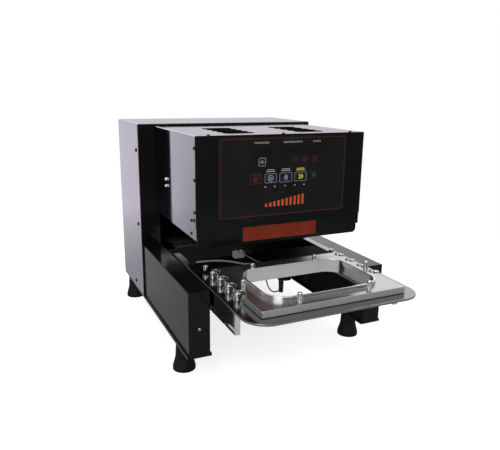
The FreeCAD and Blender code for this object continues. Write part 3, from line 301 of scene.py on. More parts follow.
def colour_mix(tree, factor):
    """A colour mix node driven by the factor."""
    mix = tree.nodes.new("ShaderNodeMix")
    mix.data_type = "RGBA"
    tree.links.new(factor, mix.inputs["Factor"])
    return mix


def relief(tree, height, distance, under=None):
    """A bump of that depth, over another normal if one is given."""
    bump = tree.nodes.new("ShaderNodeBump")
    bump.inputs["Distance"].default_value = distance
    tree.links.new(height, bump.inputs["Height"])
    if under is not None:
        tree.links.new(under, bump.inputs["Normal"])
    return bump.outputs["Normal"]


# Finishes of the large pieces, whose edges are softened
EDGE_SAMPLES = 6
EDGE_RADIUS = {"stainless": 0.0006, "black_paint": 0.0005, "plate_steel": 0.0004, "block_steel": 0.0005}


def soft_edge(tree, name):
    """A normal that rolls over sharp edges, so that they catch the light, or none for other finishes."""
    radius = EDGE_RADIUS.get(name)
    if radius is None:
        return None
    bevel = tree.nodes.new("ShaderNodeBevel")
    bevel.samples = EDGE_SAMPLES
    bevel.inputs["Radius"].default_value = radius
    return bevel.outputs["Normal"]


# Finishes

NOISE_LOW = 0.3
NOISE_HIGH = 0.7
SMUDGE_SCALE = 14.0
SMUDGE_DETAIL = 2.0
WAVE_SCALE = 5.0
WAVE_DETAIL = 1.0
PATCH_SCALE = 18.0
PATCH_DETAIL = 3.0

# Tint of a metal's reflection where it is seen at a flat angle
NO_TINT = (1.0, 1.0, 1.0)
EDGE_TINT = {"stainless": (0.95, 0.91, 1.0)}


def bare_metal(name, dark, light, smooth, rough, scale, stretch, depth, wave=0.0):
    """Bare metal with fine brush lines, smudges that change its gloss, and a slow wave in thin sheet."""
    material, tree, shader = new_finish(name)
    shader.inputs["Metallic"].default_value = 1.0
    shader.inputs["Specular Tint"].default_value = (*EDGE_TINT.get(name, NO_TINT), 1.0)
    lines = grain(tree, scale, stretch)
    smudges = grain(tree, SMUDGE_SCALE, detail=SMUDGE_DETAIL)
    tree.links.new(shades(tree, lines, dark, light), shader.inputs["Base Color"])
    tree.links.new(span(tree, smudges, smooth, rough, NOISE_LOW, NOISE_HIGH), shader.inputs["Roughness"])
    normal = relief(tree, lines, depth, soft_edge(tree, name))
    if wave:
        normal = relief(tree, grain(tree, WAVE_SCALE, detail=WAVE_DETAIL), wave, normal)
    tree.links.new(normal, shader.inputs["Normal"])
    return material


def coated(name, dark, light, smooth, rough, specular, scale, depth):
    """Paint, plastic, rubber or ink: an even colour with a fine skin texture and uneven gloss."""
    material, tree, shader = new_finish(name)
    shader.inputs["Specular IOR Level"].default_value = specular
    skin = grain(tree, scale)
    patches = grain(tree, PATCH_SCALE, detail=PATCH_DETAIL)
    tree.links.new(shades(tree, patches, dark, light), shader.inputs["Base Color"])
    tree.links.new(span(tree, patches, smooth, rough, NOISE_LOW, NOISE_HIGH), shader.inputs["Roughness"])
    tree.links.new(relief(tree, skin, depth, soft_edge(tree, name)), shader.inputs["Normal"])
    return material


ALONG_X = (0.02, 1.0, 1.0)
ALONG_Y = (1.0, 0.02, 1.0)
ALONG_Z = (1.0, 1.0, 0.02)

# Name: dark, light, smooth, rough, scale, stretch, depth and, on thin sheet, wave
METALS = {
    "stainless": (
        (0.385, 0.373, 0.405), (0.415, 0.403, 0.435), 0.05, 0.09, 700.0, ALONG_Y, 0.000001, 0.0005,
    ),
    "bar_steel": ((0.68, 0.68, 0.68), (0.76, 0.76, 0.76), 0.05, 0.1, 600.0, ALONG_Y, 0.000002),
    "ring_steel": ((0.66, 0.655, 0.66), (0.74, 0.735, 0.74), 0.13, 0.2, 600.0, ALONG_X, 0.000004),
    "post_chrome": ((0.7, 0.7, 0.69), (0.78, 0.78, 0.77), 0.08, 0.12, 900.0, ALONG_Z, 0.000001),
    "pin_steel": ((0.6, 0.6, 0.6), (0.68, 0.68, 0.68), 0.24, 0.3, 900.0, ALONG_Z, 0.000001),
    "screw_steel": ((0.36, 0.36, 0.37), (0.46, 0.46, 0.47), 0.1, 0.2, 1400.0, EVEN, 0.000004),
    "black_oxide": ((0.03, 0.03, 0.032), (0.05, 0.05, 0.053), 0.25, 0.4, 1400.0, EVEN, 0.000004),
    "platen_aluminium": ((0.6, 0.6, 0.6), (0.7, 0.7, 0.7), 0.3, 0.45, 800.0, ALONG_Y, 0.00001),
    "bush_brass": ((0.5, 0.36, 0.15), (0.62, 0.47, 0.22), 0.2, 0.32, 900.0, ALONG_Z, 0.000005),
}

# Name: dark, light, smooth, rough, specular, scale and depth
COATS = {
    "black_paint": ((0.0038, 0.0038, 0.0039), (0.0055, 0.0055, 0.0057), 0.1, 0.16, 0.18, 900.0, 0.000006),
    "foot_rubber": ((0.0045, 0.0045, 0.0045), (0.008, 0.008, 0.008), 0.45, 0.65, 0.16, 1500.0, 0.00003),
    "overlay_film": ((0.007, 0.007, 0.0076), (0.009, 0.0088, 0.0096), 0.3, 0.42, 0.14, 3000.0, 0.000004),
    "key_red": ((0.010, 0.008, 0.0085), (0.013, 0.010, 0.0105), 0.3, 0.42, 0.2, 3000.0, 0.000004),
    "key_dark_red": ((0.0095, 0.008, 0.0085), (0.012, 0.010, 0.0105), 0.3, 0.42, 0.2, 3000.0, 0.000004),
    "key_blue": ((0.009, 0.011, 0.019), (0.012, 0.014, 0.024), 0.3, 0.42, 0.2, 3000.0, 0.000004),
    "key_grey": ((0.009, 0.009, 0.0095), (0.012, 0.012, 0.0125), 0.3, 0.42, 0.2, 3000.0, 0.000004),
    "key_yellow": ((0.010, 0.010, 0.0085), (0.013, 0.013, 0.0105), 0.3, 0.42, 0.2, 3000.0, 0.000004),
    "display_lens": ((0.006, 0.006, 0.0066), (0.0082, 0.008, 0.0088), 0.26, 0.36, 0.14, 3000.0, 0.000002),
    "circuit_board": ((0.01, 0.09, 0.03), (0.02, 0.14, 0.05), 0.3, 0.45, 0.5, 600.0, 0.00002),
    "insulation": ((0.6, 0.55, 0.44), (0.72, 0.68, 0.57), 0.7, 0.9, 0.3, 700.0, 0.0001),
    "black_plastic": ((0.006, 0.006, 0.0065), (0.01, 0.01, 0.011), 0.35, 0.5, 0.3, 1800.0, 0.00002),
    "catch_alloy": ((0.4, 0.4, 0.4), (0.5, 0.5, 0.5), 0.35, 0.5, 0.5, 1600.0, 0.00002),
    # An unreflecting black for the vent grilles: painted shade for the dark inside of the head
    "grille_shade_black": ((0.004, 0.004, 0.004), (0.008, 0.008, 0.008), 0.6, 0.75, 0.0, 1800.0, 0.00001),
    "sensor_plastic": ((0.03, 0.03, 0.045), (0.055, 0.055, 0.075), 0.3, 0.42, 0.35, 1800.0, 0.00001),
    "lead_rubber": ((0.006, 0.006, 0.006), (0.01, 0.01, 0.01), 0.45, 0.6, 0.3, 1600.0, 0.00002),
    "lead_sleeve": ((0.27, 0.27, 0.27), (0.35, 0.35, 0.35), 0.35, 0.5, 0.5, 1600.0, 0.00002),
    "film_web": ((0.66, 0.69, 0.71), (0.74, 0.77, 0.79), 0.08, 0.16, 0.5, 300.0, 0.00001),
    "label_rust": ((0.14, 0.018, 0.008), (0.175, 0.024, 0.011), 0.4, 0.55, 0.1, 2000.0, 0.000004),
    "ink_red": ((0.2, 0.028, 0.025), (0.26, 0.036, 0.032), 0.4, 0.5, 0.2, 2500.0, 0.000002),
    "ink_dark_red": ((0.085, 0.014, 0.014), (0.11, 0.018, 0.018), 0.4, 0.5, 0.2, 2500.0, 0.000002),
    "ink_light": ((0.32, 0.34, 0.38), (0.4, 0.42, 0.46), 0.4, 0.5, 0.2, 2500.0, 0.000002),
    "ink_grey": ((0.26, 0.26, 0.265), (0.32, 0.32, 0.325), 0.4, 0.5, 0.2, 2500.0, 0.000002),
    "ink_dim": ((0.08, 0.085, 0.08), (0.1, 0.106, 0.1), 0.4, 0.5, 0.2, 2500.0, 0.000002),
    "ink_yellow": ((0.55, 0.52, 0.03), (0.66, 0.62, 0.04), 0.4, 0.5, 0.2, 2500.0, 0.000002),
    "ink_orange": ((0.45, 0.06, 0.018), (0.55, 0.08, 0.024), 0.4, 0.5, 0.2, 2500.0, 0.000002),
}

# Drawer plate: half the width of its matte near-black part, where that starts, and both looks
BLACK_ZONE_HALF = 0.1425
BLACK_ZONE_FROM = -0.0975
ZONE_NEAR_BLACK = (0.0035, 0.0035, 0.0037)
ZONE_ROUGH = 0.55
ZONE_SPECULAR = 0.02
STEEL_DARK = (0.19, 0.19, 0.19)
STEEL_LIGHT = (0.235, 0.235, 0.235)
STEEL_SCALE = 600.0
STEEL_DEPTH = 0.000001
STEEL_SMOOTH = 0.12
STEEL_ROUGH = 0.2


def plate_finish(name):
    """Polished plate steel, matte near-black at the rear between the plate's arms."""
    material, tree, shader = new_finish(name)
    place = tree.nodes.new("ShaderNodeTexCoord")
    parts = tree.nodes.new("ShaderNodeSeparateXYZ")
    tree.links.new(place.outputs["Object"], parts.inputs["Vector"])
    side = math_node(tree, "ABSOLUTE", parts.outputs["X"], 0.0)
    inside = math_node(tree, "LESS_THAN", side, BLACK_ZONE_HALF)
    behind = math_node(tree, "GREATER_THAN", parts.outputs["Y"], BLACK_ZONE_FROM)
    bare = math_node(tree, "SUBTRACT", 1.0, math_node(tree, "MULTIPLY", inside, behind))
    lines = grain(tree, STEEL_SCALE, ALONG_X)
    smudges = grain(tree, SMUDGE_SCALE, detail=SMUDGE_DETAIL)
    mix = colour_mix(tree, bare)
    mix.inputs[MIX_FIRST].default_value = (*ZONE_NEAR_BLACK, 1.0)
    tree.links.new(shades(tree, lines, STEEL_DARK, STEEL_LIGHT), mix.inputs[MIX_SECOND])
    tree.links.new(mix.outputs[MIX_RESULT], shader.inputs["Base Color"])
    tree.links.new(bare, shader.inputs["Metallic"])
    polish = span(tree, smudges, STEEL_SMOOTH, STEEL_ROUGH, NOISE_LOW, NOISE_HIGH)
    tree.links.new(span(tree, bare, ZONE_ROUGH, polish), shader.inputs["Roughness"])
    shader.inputs["Specular IOR Level"].default_value = ZONE_SPECULAR
    tree.links.new(relief(tree, lines, STEEL_DEPTH, soft_edge(tree, name)), shader.inputs["Normal"])
    return material


# Die block, as a row of METALS, and how its faces differ by the way they face, with a lighter colour on the
# front and rear faces that is painted light
DIE_STEEL = ((0.4, 0.4, 0.4), (0.47, 0.47, 0.47), 0.24, 0.34, 600.0, ALONG_X, 0.000003)
TOP_FACING = (0.3, 0.9)
MILLED_ROUGH = 0.62
MILLED_FACING = (0.985, 0.995)
MILLED_SCALE = 900.0
# Colours of the front and rear faces, lighter than the rest of the block: painted light
LIT_MILLED_DARK = (0.56, 0.56, 0.56)
LIT_MILLED_LIGHT = (0.66, 0.66, 0.66)
POLISHED_ROUGH = 0.08


def block_finish(name):
    """Die steel with a satin top, a duller milled front and rear whose lighter colour is painted light, and
    polished sides and notches.
    """
    material = bare_metal(name, *DIE_STEEL)
    tree = material.node_tree
    shader = tree.nodes["Principled BSDF"]
    surface = tree.nodes.new("ShaderNodeNewGeometry")
    parts = tree.nodes.new("ShaderNodeSeparateXYZ")
    tree.links.new(surface.outputs["True Normal"], parts.inputs["Vector"])
    satin = shader.inputs["Roughness"].links[0].from_socket
    upward = math_node(tree, "ABSOLUTE", parts.outputs["Z"], 0.0)
    ahead = math_node(tree, "ABSOLUTE", parts.outputs["Y"], 0.0)
    top = span(tree, upward, POLISHED_ROUGH, satin, *TOP_FACING)
    milled = span(tree, ahead, POLISHED_ROUGH, MILLED_ROUGH, *MILLED_FACING)
    tree.links.new(math_node(tree, "MAXIMUM", top, milled), shader.inputs["Roughness"])
    # Painted light: the front and rear faces take a lighter colour than the top and sides, as if lit
    mix = colour_mix(tree, span(tree, ahead, 0.0, 1.0, *MILLED_FACING))
    lines = grain(tree, MILLED_SCALE, ALONG_X)
    tree.links.new(shader.inputs["Base Color"].links[0].from_socket, mix.inputs[MIX_FIRST])
    tree.links.new(shades(tree, lines, LIT_MILLED_DARK, LIT_MILLED_LIGHT), mix.inputs[MIX_SECOND])
    tree.links.new(mix.outputs[MIX_RESULT], shader.inputs["Base Color"])
    return material


def make_finishes():
    """Every finish by name."""
    finishes = {name: bare_metal(name, *look) for name, look in METALS.items()}
    finishes.update({name: coated(name, *look) for name, look in COATS.items()})
    finishes["plate_steel"] = plate_finish("plate_steel")
    finishes["block_steel"] = block_finish("block_steel")
    return finishes


NODE_FINISH = {
    "stainless": ("cabinet_shell", "cabinet_rear_panel", "head_cover"),
    "black_paint": (
        "base_plate_left", "base_plate_right", "rail_left", "rail_right", "cabinet_front_panel",
        "head_front_panel", "head_skirt", "cabinet_floor", "press_bridge", "sensor_bracket",
        "film_brackets",
    ),
    "plate_steel": ("drawer_plate",),
    "bar_steel": ("slide_bar_left", "slide_bar_right"),
    "block_steel": ("die_block",),
    "ring_steel": ("tray_ring",),
    "post_chrome": ("catch_rod", "guide_rods", "press_ram", "film_shaft"),
    "screw_steel": ("board_standoffs", "power_supply"),
    "catch_alloy": ("catch_block",),
    "platen_aluminium": ("heat_platen", "platen_carrier", "press_actuator"),
    "bush_brass": ("guide_bushes",),
    "foot_rubber": ("foot_front_left", "foot_front_right", "foot_rear_left", "foot_rear_right"),
    "overlay_film": ("keypad_overlay",),
    "key_red": ("key_power",),
    "key_dark_red": ("key_minus", "key_set", "key_plus"),
    "key_blue": ("key_automatic", "key_manual"),
    "key_grey": ("key_counter", "key_start"),
    "key_yellow": ("key_double",),
    "display_lens": ("display_windows",),
    "circuit_board": ("control_board",),
    "insulation": ("platen_insulation",),
    "black_plastic": (
        "power_inlet", "lead_gland", "guide_strip_left", "guide_strip_right", "die_lead_fittings",
    ),
    "sensor_plastic": ("drawer_sensor",),
    "film_web": ("film_roll",),
}


def finish_nodes(finishes):
    """Give each CAD node that stays in view its finish."""
    for slot, names in NODE_FINISH.items():
        for name in names:
            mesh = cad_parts[name].data
            mesh.materials.clear()
            mesh.materials.append(finishes[slot])


# Leads

CORD_ROUNDNESS = 6
CORD_STEPS = 16
CORD_ORDER = 3
LEADS = {
    "sensor_lead": {
        "route": (
            (0.1279, 0.127, 0.027),
            (0.119, 0.127, 0.024),
            (0.109, 0.1275, 0.0275),
            (0.101, 0.129, 0.038),
            (0.0965, 0.131, 0.052),
            (0.095, 0.1325, 0.064),
            (0.095, 0.1325, 0.075),
        ),
        "diameter": 0.003,
        "length": 0.0706,
        "body": "frame",
        "slot": "lead_rubber",
        "lay": "hanging",
    },
    "die_lead": {
        "route": (
            (-0.044, -0.0905, 0.183),
            (-0.044, -0.0835, 0.183),
            (-0.051, -0.074, 0.1802),
            (-0.062, -0.06, 0.18),
            (-0.073, -0.046, 0.18),
            (-0.087, -0.035, 0.18),
            (-0.104, -0.029, 0.18),
            (-0.122, -0.026, 0.18),
            (-0.138, -0.026, 0.18),
        ),
        "diameter": 0.0034,
        "length": 0.1242,
        "body": "drawer",
        "slot": "lead_sleeve",
        "lay": "loose",
    },
}


def make_leads(finishes):
    """The drawer sensor's lead, which sags to its gland, and the tray die's, which lies on the plate."""
    for name, lead in LEADS.items():
        data = bpy.data.curves.new(name + "_cord", "CURVE")
        data.dimensions = "3D"
        data.bevel_depth = lead["diameter"] / 2
        data.bevel_resolution = CORD_ROUNDNESS
        data.resolution_u = CORD_STEPS
        data.use_fill_caps = True
        spline = data.splines.new("NURBS")
        spline.points.add(len(lead["route"]) - 1)
        for point, place in zip(spline.points, lead["route"]):
            point.co = (*place, 1.0)
        spline.order_u = CORD_ORDER
        spline.use_endpoint_u = True
        data.materials.append(finishes[lead["slot"]])
        cord = bpy.data.objects.new(name + "_cord", data)
        bpy.context.scene.collection.objects.link(cord)
        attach(cord, lead["body"])
        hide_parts(name)


# Pieces made here

WELD = 0.001 * MM


def add_piece(name, shape, body, materials, replaced=()):
    """Turn a bmesh into an object that rides on a body."""
    bmesh.ops.recalc_face_normals(shape, faces=shape.faces)
    mesh = bpy.data.meshes.new(name)
    shape.to_mesh(mesh)
    shape.free()
    for material in materials:
        mesh.materials.append(material)
    piece = bpy.data.objects.new(name, mesh)
    bpy.context.scene.collection.objects.link(piece)
    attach(piece, body)
    for node in replaced:
        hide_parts(node)
    return piece


def solids_of(node):
    """The lowest and highest corner of each separate solid in a CAD node."""
    shape = bmesh.new()
    shape.from_mesh(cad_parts[node].data)
    bmesh.ops.remove_doubles(shape, verts=shape.verts, dist=WELD)
    shape.verts.ensure_lookup_table()
    seen = set()
    boxes = []
    for start in shape.verts:
        if start.index in seen:
            continue
        seen.add(start.index)
        queue = [start]
        places = []
        while queue:
            vert = queue.pop()
            places.append(vert.co.copy())
            for edge in vert.link_edges:
                other = edge.other_vert(vert)
                if other.index not in seen:
                    seen.add(other.index)
                    queue.append(other)
        low = Vector([min(place[axis] for place in places) for axis in range(3)])
        high = Vector([max(place[axis] for place in places) for axis in range(3)])
        boxes.append((low, high))
    shape.free()
    return boxes


# Screw heads, bolts and pins, turned, and all but the pins with a hexagon socket

TURN_STEPS = 36
SIXTH = math.pi / 3
SMOOTH_ABOVE = math.radians(35.0)

# Rings from the foot up, and down into the socket: round or hexagon, share of the radius, share of the height
BUTTON_HEAD = (
    ("round", 0.9, 0.0), ("round", 1.0, 0.06), ("round", 1.0, 0.22), ("round", 0.93, 0.55),
    ("round", 0.8, 0.8), ("round", 0.62, 0.95), ("round", 0.5, 1.0), ("hex", 0.42, 1.0),
    ("hex", 0.38, 0.9), ("hex", 0.38, 0.35),
)
CAP_BOLT = (
    ("round", 0.95, 0.0), ("round", 1.0, 0.03), ("round", 1.0, 0.93), ("round", 0.97, 0.97),
    ("round", 0.91, 1.0), ("round", 0.62, 1.0), ("hex", 0.52, 0.97), ("hex", 0.5, 0.5),
)
LOCATING_PIN = (
    ("round", 0.92, 0.0), ("round", 0.92, 0.03), ("round", 1.0, 0.05), ("round", 1.0, 0.93),
    ("round", 0.94, 0.97), ("round", 0.84, 1.0), ("round", 0.2, 1.0),
)

# Share of the CAD head's radius, or of the CAD post's height, that each shape takes
OUTER_HEAD = 1.25
INNER_HEAD = 0.85
BRIDGE_HEAD = 0.72
FRONT_PIN = 0.95
REAR_PIN = 0.62

# Distance from the middle beyond which a screw is on the cabinet's side, and height of the lowest cap bolt
OUTER_SIDE = 0.19
LOW_HEAD = 0.005


def ring_reach(form, angle):
    """Distance from the axis to the ring at an angle, for a ring of radius one."""
    if form == "round":
        return 1.0
    return 1.0 / math.cos(angle % SIXTH - SIXTH / 2)


def add_turned(shape, foot, axis, radius, height, rings, material=0):
    """Add one closed turned solid to a bmesh."""
    across = AXES[1] if axis.x else AXES[0]
    over = axis.cross(across)
    loops = []
    for form, share, rise in rings:
        loop = []
        for step in range(TURN_STEPS):
            angle = 2 * math.pi * step / TURN_STEPS
            reach = radius * share * ring_reach(form, angle)
            spoke = math.cos(angle) * across + math.sin(angle) * over
            loop.append(shape.verts.new(foot + reach * spoke + height * rise * axis))
        loops.append(loop)
    faces = [shape.faces.new(loops[0]), shape.faces.new(loops[-1])]
    for lower, upper in zip(loops, loops[1:]):
        for step in range(TURN_STEPS):
            after = (step + 1) % TURN_STEPS
            faces.append(shape.faces.new((lower[step], lower[after], upper[after], upper[step])))
    for face in faces:
        face.smooth = True
        face.material_index = material
    for face in faces[:2]:
        face.smooth = False


def sharpen(shape):
    """Shade edges sharper than the limit as edges."""
    for edge in shape.edges:
        if len(edge.link_faces) == 2 and edge.calc_face_angle() > SMOOTH_ABOVE:
            edge.smooth = False


def make_screws(finishes):
    """Turned heads, bolts and pins in place of the plain CAD ones, each at its own solid's place."""
    covers = bmesh.new()
    for low, high in solids_of("cover_screws"):
        extent = high - low
        middle = (low + high) / 2
        axis = min(range(3), key=lambda i: extent[i])
        sign = -1.0 if (axis == 1 or (axis == 0 and middle.x < 0)) else 1.0
        outward = sign * AXES[axis]
        foot = middle - outward * extent[axis] / 2
        dark = 0 if axis == 1 else 1
        radius = max(extent) / 2 * (OUTER_HEAD if abs(middle.x) > OUTER_SIDE else INNER_HEAD)
        add_turned(covers, foot, outward, radius, extent[axis], BUTTON_HEAD, dark)
    sharpen(covers)
    materials = (finishes["screw_steel"], finishes["black_oxide"])
    add_piece("cover_screw_heads", covers, "frame", materials, ("cover_screws",))

    bridge = bmesh.new()
    for low, high in solids_of("bridge_bolts"):
        middle = (low + high) / 2
        outward = AXES[0] if middle.x > 0 else -AXES[0]
        foot = middle - outward * (high.x - low.x) / 2
        add_turned(bridge, foot, outward, BRIDGE_HEAD * (high.z - low.z) / 2, high.x - low.x, BUTTON_HEAD)
    sharpen(bridge)
    chrome = (finishes["post_chrome"],)
    add_piece("bridge_bolt_heads", bridge, "frame", chrome, ("bridge_bolts",))

    drawer = bmesh.new()
    for low, high in solids_of("drawer_bolts"):
        foot = Vector(((low.x + high.x) / 2, (low.y + high.y) / 2, low.z))
        rise = high.z - low.z
        rings = BUTTON_HEAD if rise < LOW_HEAD else CAP_BOLT
        add_turned(drawer, foot, AXES[2], (high.x - low.x) / 2, rise, rings)
    sharpen(drawer)
    add_piece("drawer_bolt_heads", drawer, "drawer", chrome, ("drawer_bolts",))

    pins = bmesh.new()
    posts = solids_of("locating_posts")
    middle = sum(low.y + high.y for low, high in posts) / (2 * len(posts))
    for low, high in posts:
        foot = Vector(((low.x + high.x) / 2, (low.y + high.y) / 2, low.z))
        share = FRONT_PIN if foot.y < middle else REAR_PIN
        add_turned(pins, foot, AXES[2], (high.x - low.x) / 2, share * (high.z - low.z), LOCATING_PIN)
    sharpen(pins)
    add_piece("locating_pins", pins, "drawer", (finishes["pin_steel"],), ("locating_posts",))


# Black wire grilles pressed into the head's vents, in an unreflecting black that is painted shade for the
# dark inside of the head

VENT_X = 0.071
VENT_FIRST_Y = 0.029
VENT_PITCH = -0.0265
VENT_COUNT = 5
VENT_HALF_X = 0.028
VENT_HALF_Y = 0.011
VENT_CORNER = 0.0099
GRILLE_TOP = 0.4258
GRILLE_RIM = 0.0006
LIP = 0.0013
LIP_EDGE = 0.8 * LIP
LIP_FOOT = 0.426
LIP_TOP = 0.4263
WIRE = 0.0007
WIRE_PITCH = 0.0022

# Section of a bar with chamfered edges, in shares of its half width and half height
BAR_SECTION = ((-1, -0.5), (-0.5, -1), (0.5, -1), (1, -0.5), (1, 0.5), (0.5, 1), (-0.5, 1), (-1, 0.5))


def add_bar(shape, low, high):
    """Add one wire or strip, a bar with chamfered long edges, between two corners."""
    middle = (low + high) / 2
    half = (high - low) / 2
    long_axis = max(range(3), key=lambda i: half[i])
    first, second = [axis for axis in range(3) if axis != long_axis]
    ends = []
    for end in (-1.0, 1.0):
        loop = []
        for a, b in BAR_SECTION:
            place = middle.copy()
            place[long_axis] += end * half[long_axis]
            place[first] += a * half[first]
            place[second] += b * half[second]
            loop.append(shape.verts.new(place))
        ends.append(loop)
    shape.faces.new(ends[0])
    shape.faces.new(ends[1])
    count = len(BAR_SECTION)
    for step in range(count):
        after = (step + 1) % count
        shape.faces.new((ends[0][step], ends[0][after], ends[1][after], ends[1][step]))


def vent_reach(offset, half_across, half_along):
    """Half the length of a wire that crosses a vent at an offset from its middle."""
    beyond = max(0.0, abs(offset) - (half_across - VENT_CORNER))
    return half_along - VENT_CORNER + math.sqrt(max(0.0, VENT_CORNER ** 2 - beyond ** 2))


def add_rim(shape, x, y):
    """A thin upright band round the inside of one vent, with a lip that lies on the sheet."""
    loops = []
    bottom = GRILLE_TOP - 2 * WIRE
    profile = (
        (-GRILLE_RIM, bottom), (0.0, bottom), (0.0, LIP_FOOT), (LIP, LIP_FOOT),
        (LIP_EDGE, LIP_TOP), (-GRILLE_RIM, LIP_TOP),
    )
    for reach, z in profile:
        outline = rounded(x, y, 2 * (VENT_HALF_X + reach), 2 * (VENT_HALF_Y + reach), VENT_CORNER + reach)
        loops.append([shape.verts.new((a, b, z)) for a, b in outline])
    count = len(loops[0])
    for first, second in zip(loops, loops[1:] + loops[:1]):
        for step in range(count):
            after = (step + 1) % count
            shape.faces.new((first[step], first[after], second[after], second[step]))


def add_grille(shape, x, y):
    """A rim with crossed wires in one vent."""
    add_rim(shape, x, y)
    offset = WIRE_PITCH - VENT_HALF_Y
    while offset < VENT_HALF_Y - WIRE:
        half = vent_reach(offset, VENT_HALF_Y, VENT_HALF_X) - GRILLE_RIM / 2
        low = Vector((x - half, y + offset - WIRE / 2, GRILLE_TOP - WIRE))
        add_bar(shape, low, Vector((x + half, y + offset + WIRE / 2, GRILLE_TOP)))
        offset += WIRE_PITCH
    offset = WIRE_PITCH - VENT_HALF_X
    while offset < VENT_HALF_X - WIRE:
        half = vent_reach(offset, VENT_HALF_X, VENT_HALF_Y) - GRILLE_RIM / 2
        low = Vector((x + offset - WIRE / 2, y - half, GRILLE_TOP - 2 * WIRE))
        add_bar(shape, low, Vector((x + offset + WIRE / 2, y + half, GRILLE_TOP - WIRE)))
        offset += WIRE_PITCH


def make_grilles(finishes):
    """Crossed wires in each vent, whose unreflecting black is painted shade that makes the vents look as dark
    as the inside of the head.
    """
    for side, sign in (("left", -1.0), ("right", 1.0)):
        shape = bmesh.new()
        for number in range(VENT_COUNT):
            add_grille(shape, sign * VENT_X, VENT_FIRST_Y + number * VENT_PITCH)
        add_piece("vent_grille_" + side, shape, "frame", (finishes["grille_shade_black"],))


# Folded saddle that holds the sensor under its bracket

SADDLE_LOW = 0.0515
SADDLE_THICK = 0.0015
SADDLE_REACH = 0.015
SADDLE_ROOM = 0.0002


def make_saddle(finishes):
    """A U of black sheet that hangs from the bracket beside the sensor."""
    low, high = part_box("sensor_bracket")
    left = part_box("drawer_sensor")[1].x + SADDLE_ROOM
    right = left + SADDLE_REACH
    front = low.y + 2 * SADDLE_THICK
    rear = high.y - 2 * SADDLE_THICK
    shape = bmesh.new()
    add_bar(shape, Vector((left, front, SADDLE_LOW)), Vector((left + SADDLE_THICK, rear, low.z)))
    add_bar(shape, Vector((left, front, SADDLE_LOW)), Vector((right, rear, SADDLE_LOW + SADDLE_THICK)))
    add_bar(shape, Vector((right - SADDLE_THICK, front, SADDLE_LOW)), Vector((right, rear, low.z)))
    add_piece("sensor_saddle", shape, "frame", (finishes["black_paint"],))


# Flat prints on the keypad, and the bare plate on the skirt, with faces and rises in metres

OVERLAY_FACE = -0.1203
KEY_FACE = -0.1209
SKIRT_FACE = -0.1165
PRINT_RISE = 0.00008
LABEL_RISE = 0.0004
CORNER_STEPS = 8
ARC_STEPS = 24
MITRE_LEAST = 0.4
ROUNDING = 4
DOT_END = 345.0
DOT_STEPS = 23


def rounded(x, z, width, height, corner):
    """Points round a rectangle with rounded corners."""
    points = []
    centres = ((1, 1, 0.0), (-1, 1, 90.0), (-1, -1, 180.0), (1, -1, 270.0))
    for right, up, turn in centres:
        for step in range(CORNER_STEPS + 1):
            angle = math.radians(turn + 90.0 * step / CORNER_STEPS)
            points.append((
                x + right * (width / 2 - corner) + corner * math.cos(angle),
                z + up * (height / 2 - corner) + corner * math.sin(angle),
            ))
    return points


def arc(x, z, radius, start, end, steps=ARC_STEPS):
    """Points along an arc, from one angle in degrees to another."""
    return [
        (x + radius * math.cos(math.radians(start + (end - start) * step / steps)),
         z + radius * math.sin(math.radians(start + (end - start) * step / steps)))
        for step in range(steps + 1)
    ]


def stroke(points, width, closed=False):
    """A line of that width along the points, as a strip of quads with mitred joints."""
    count = len(points)
    rails = []
    for index in range(count):
        here = Vector(points[index])
        before = Vector(points[index - 1]) if closed or index else None
        after = Vector(points[(index + 1) % count]) if closed or index < count - 1 else None
        normals = []
        for start, end in ((before, here), (here, after)):
            if start is not None and end is not None:
                run = (end - start).normalized()
                normals.append(Vector((-run.y, run.x)))
        normal = sum(normals, Vector((0.0, 0.0))).normalized()
        reach = width / 2 / max(MITRE_LEAST, normal.dot(normals[0]))
        rails.append((here + normal * reach, here - normal * reach))
    strip = []
    for index in range(count if closed else count - 1):
        after = rails[(index + 1) % count]
        strip.append((rails[index][0], rails[index][1], after[1], after[0]))
    return strip


def filled(points):
    """One face inside the points."""
    return [tuple(Vector(point) for point in points)]


def dot(x, z, radius):
    """A filled circle."""
    return filled(arc(x, z, radius, 0.0, DOT_END, DOT_STEPS))


def placed(x, z, points, size=1.0):
    """Points of a figure about its middle, moved to x and z."""
    return [(x + a * size, z + b * size) for a, b in points]


def add_print(shape, face_y, quads, material, rise=PRINT_RISE):
    """Raise flat figures, given in millimetres across and up, off the face at face_y."""
    corners = {}
    fronts = []
    for quad in quads:
        loop = []
        for point in quad:
            key = (round(point.x, ROUNDING), round(point.y, ROUNDING))
            if key not in corners:
                corners[key] = shape.verts.new((point.x * MM, face_y - rise, point.y * MM))
            if corners[key] not in loop:
                loop.append(corners[key])
        if len(loop) > 2:
            fronts.append(shape.faces.new(loop))
    sides = bmesh.ops.extrude_face_region(shape, geom=fronts, use_keep_orig=True)["geom"]
    for item in sides:
        if isinstance(item, bmesh.types.BMVert):
            item.co.y = face_y
    for face in fronts:
        face.material_index = material
    for item in sides:
        if isinstance(item, bmesh.types.BMFace):
            item.material_index = material
            for edge in item.edges:
                for other in edge.link_faces:
                    other.material_index = material


def key_place(name):
    """The middle and size of a key's face, in millimetres."""
    low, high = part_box("key_" + name)
    middle = (low + high) / 2 / MM
    return middle.x, middle.z, (high.x - low.x) / MM, (high.z - low.z) / MM


# Figures on the keys, about each key's middle

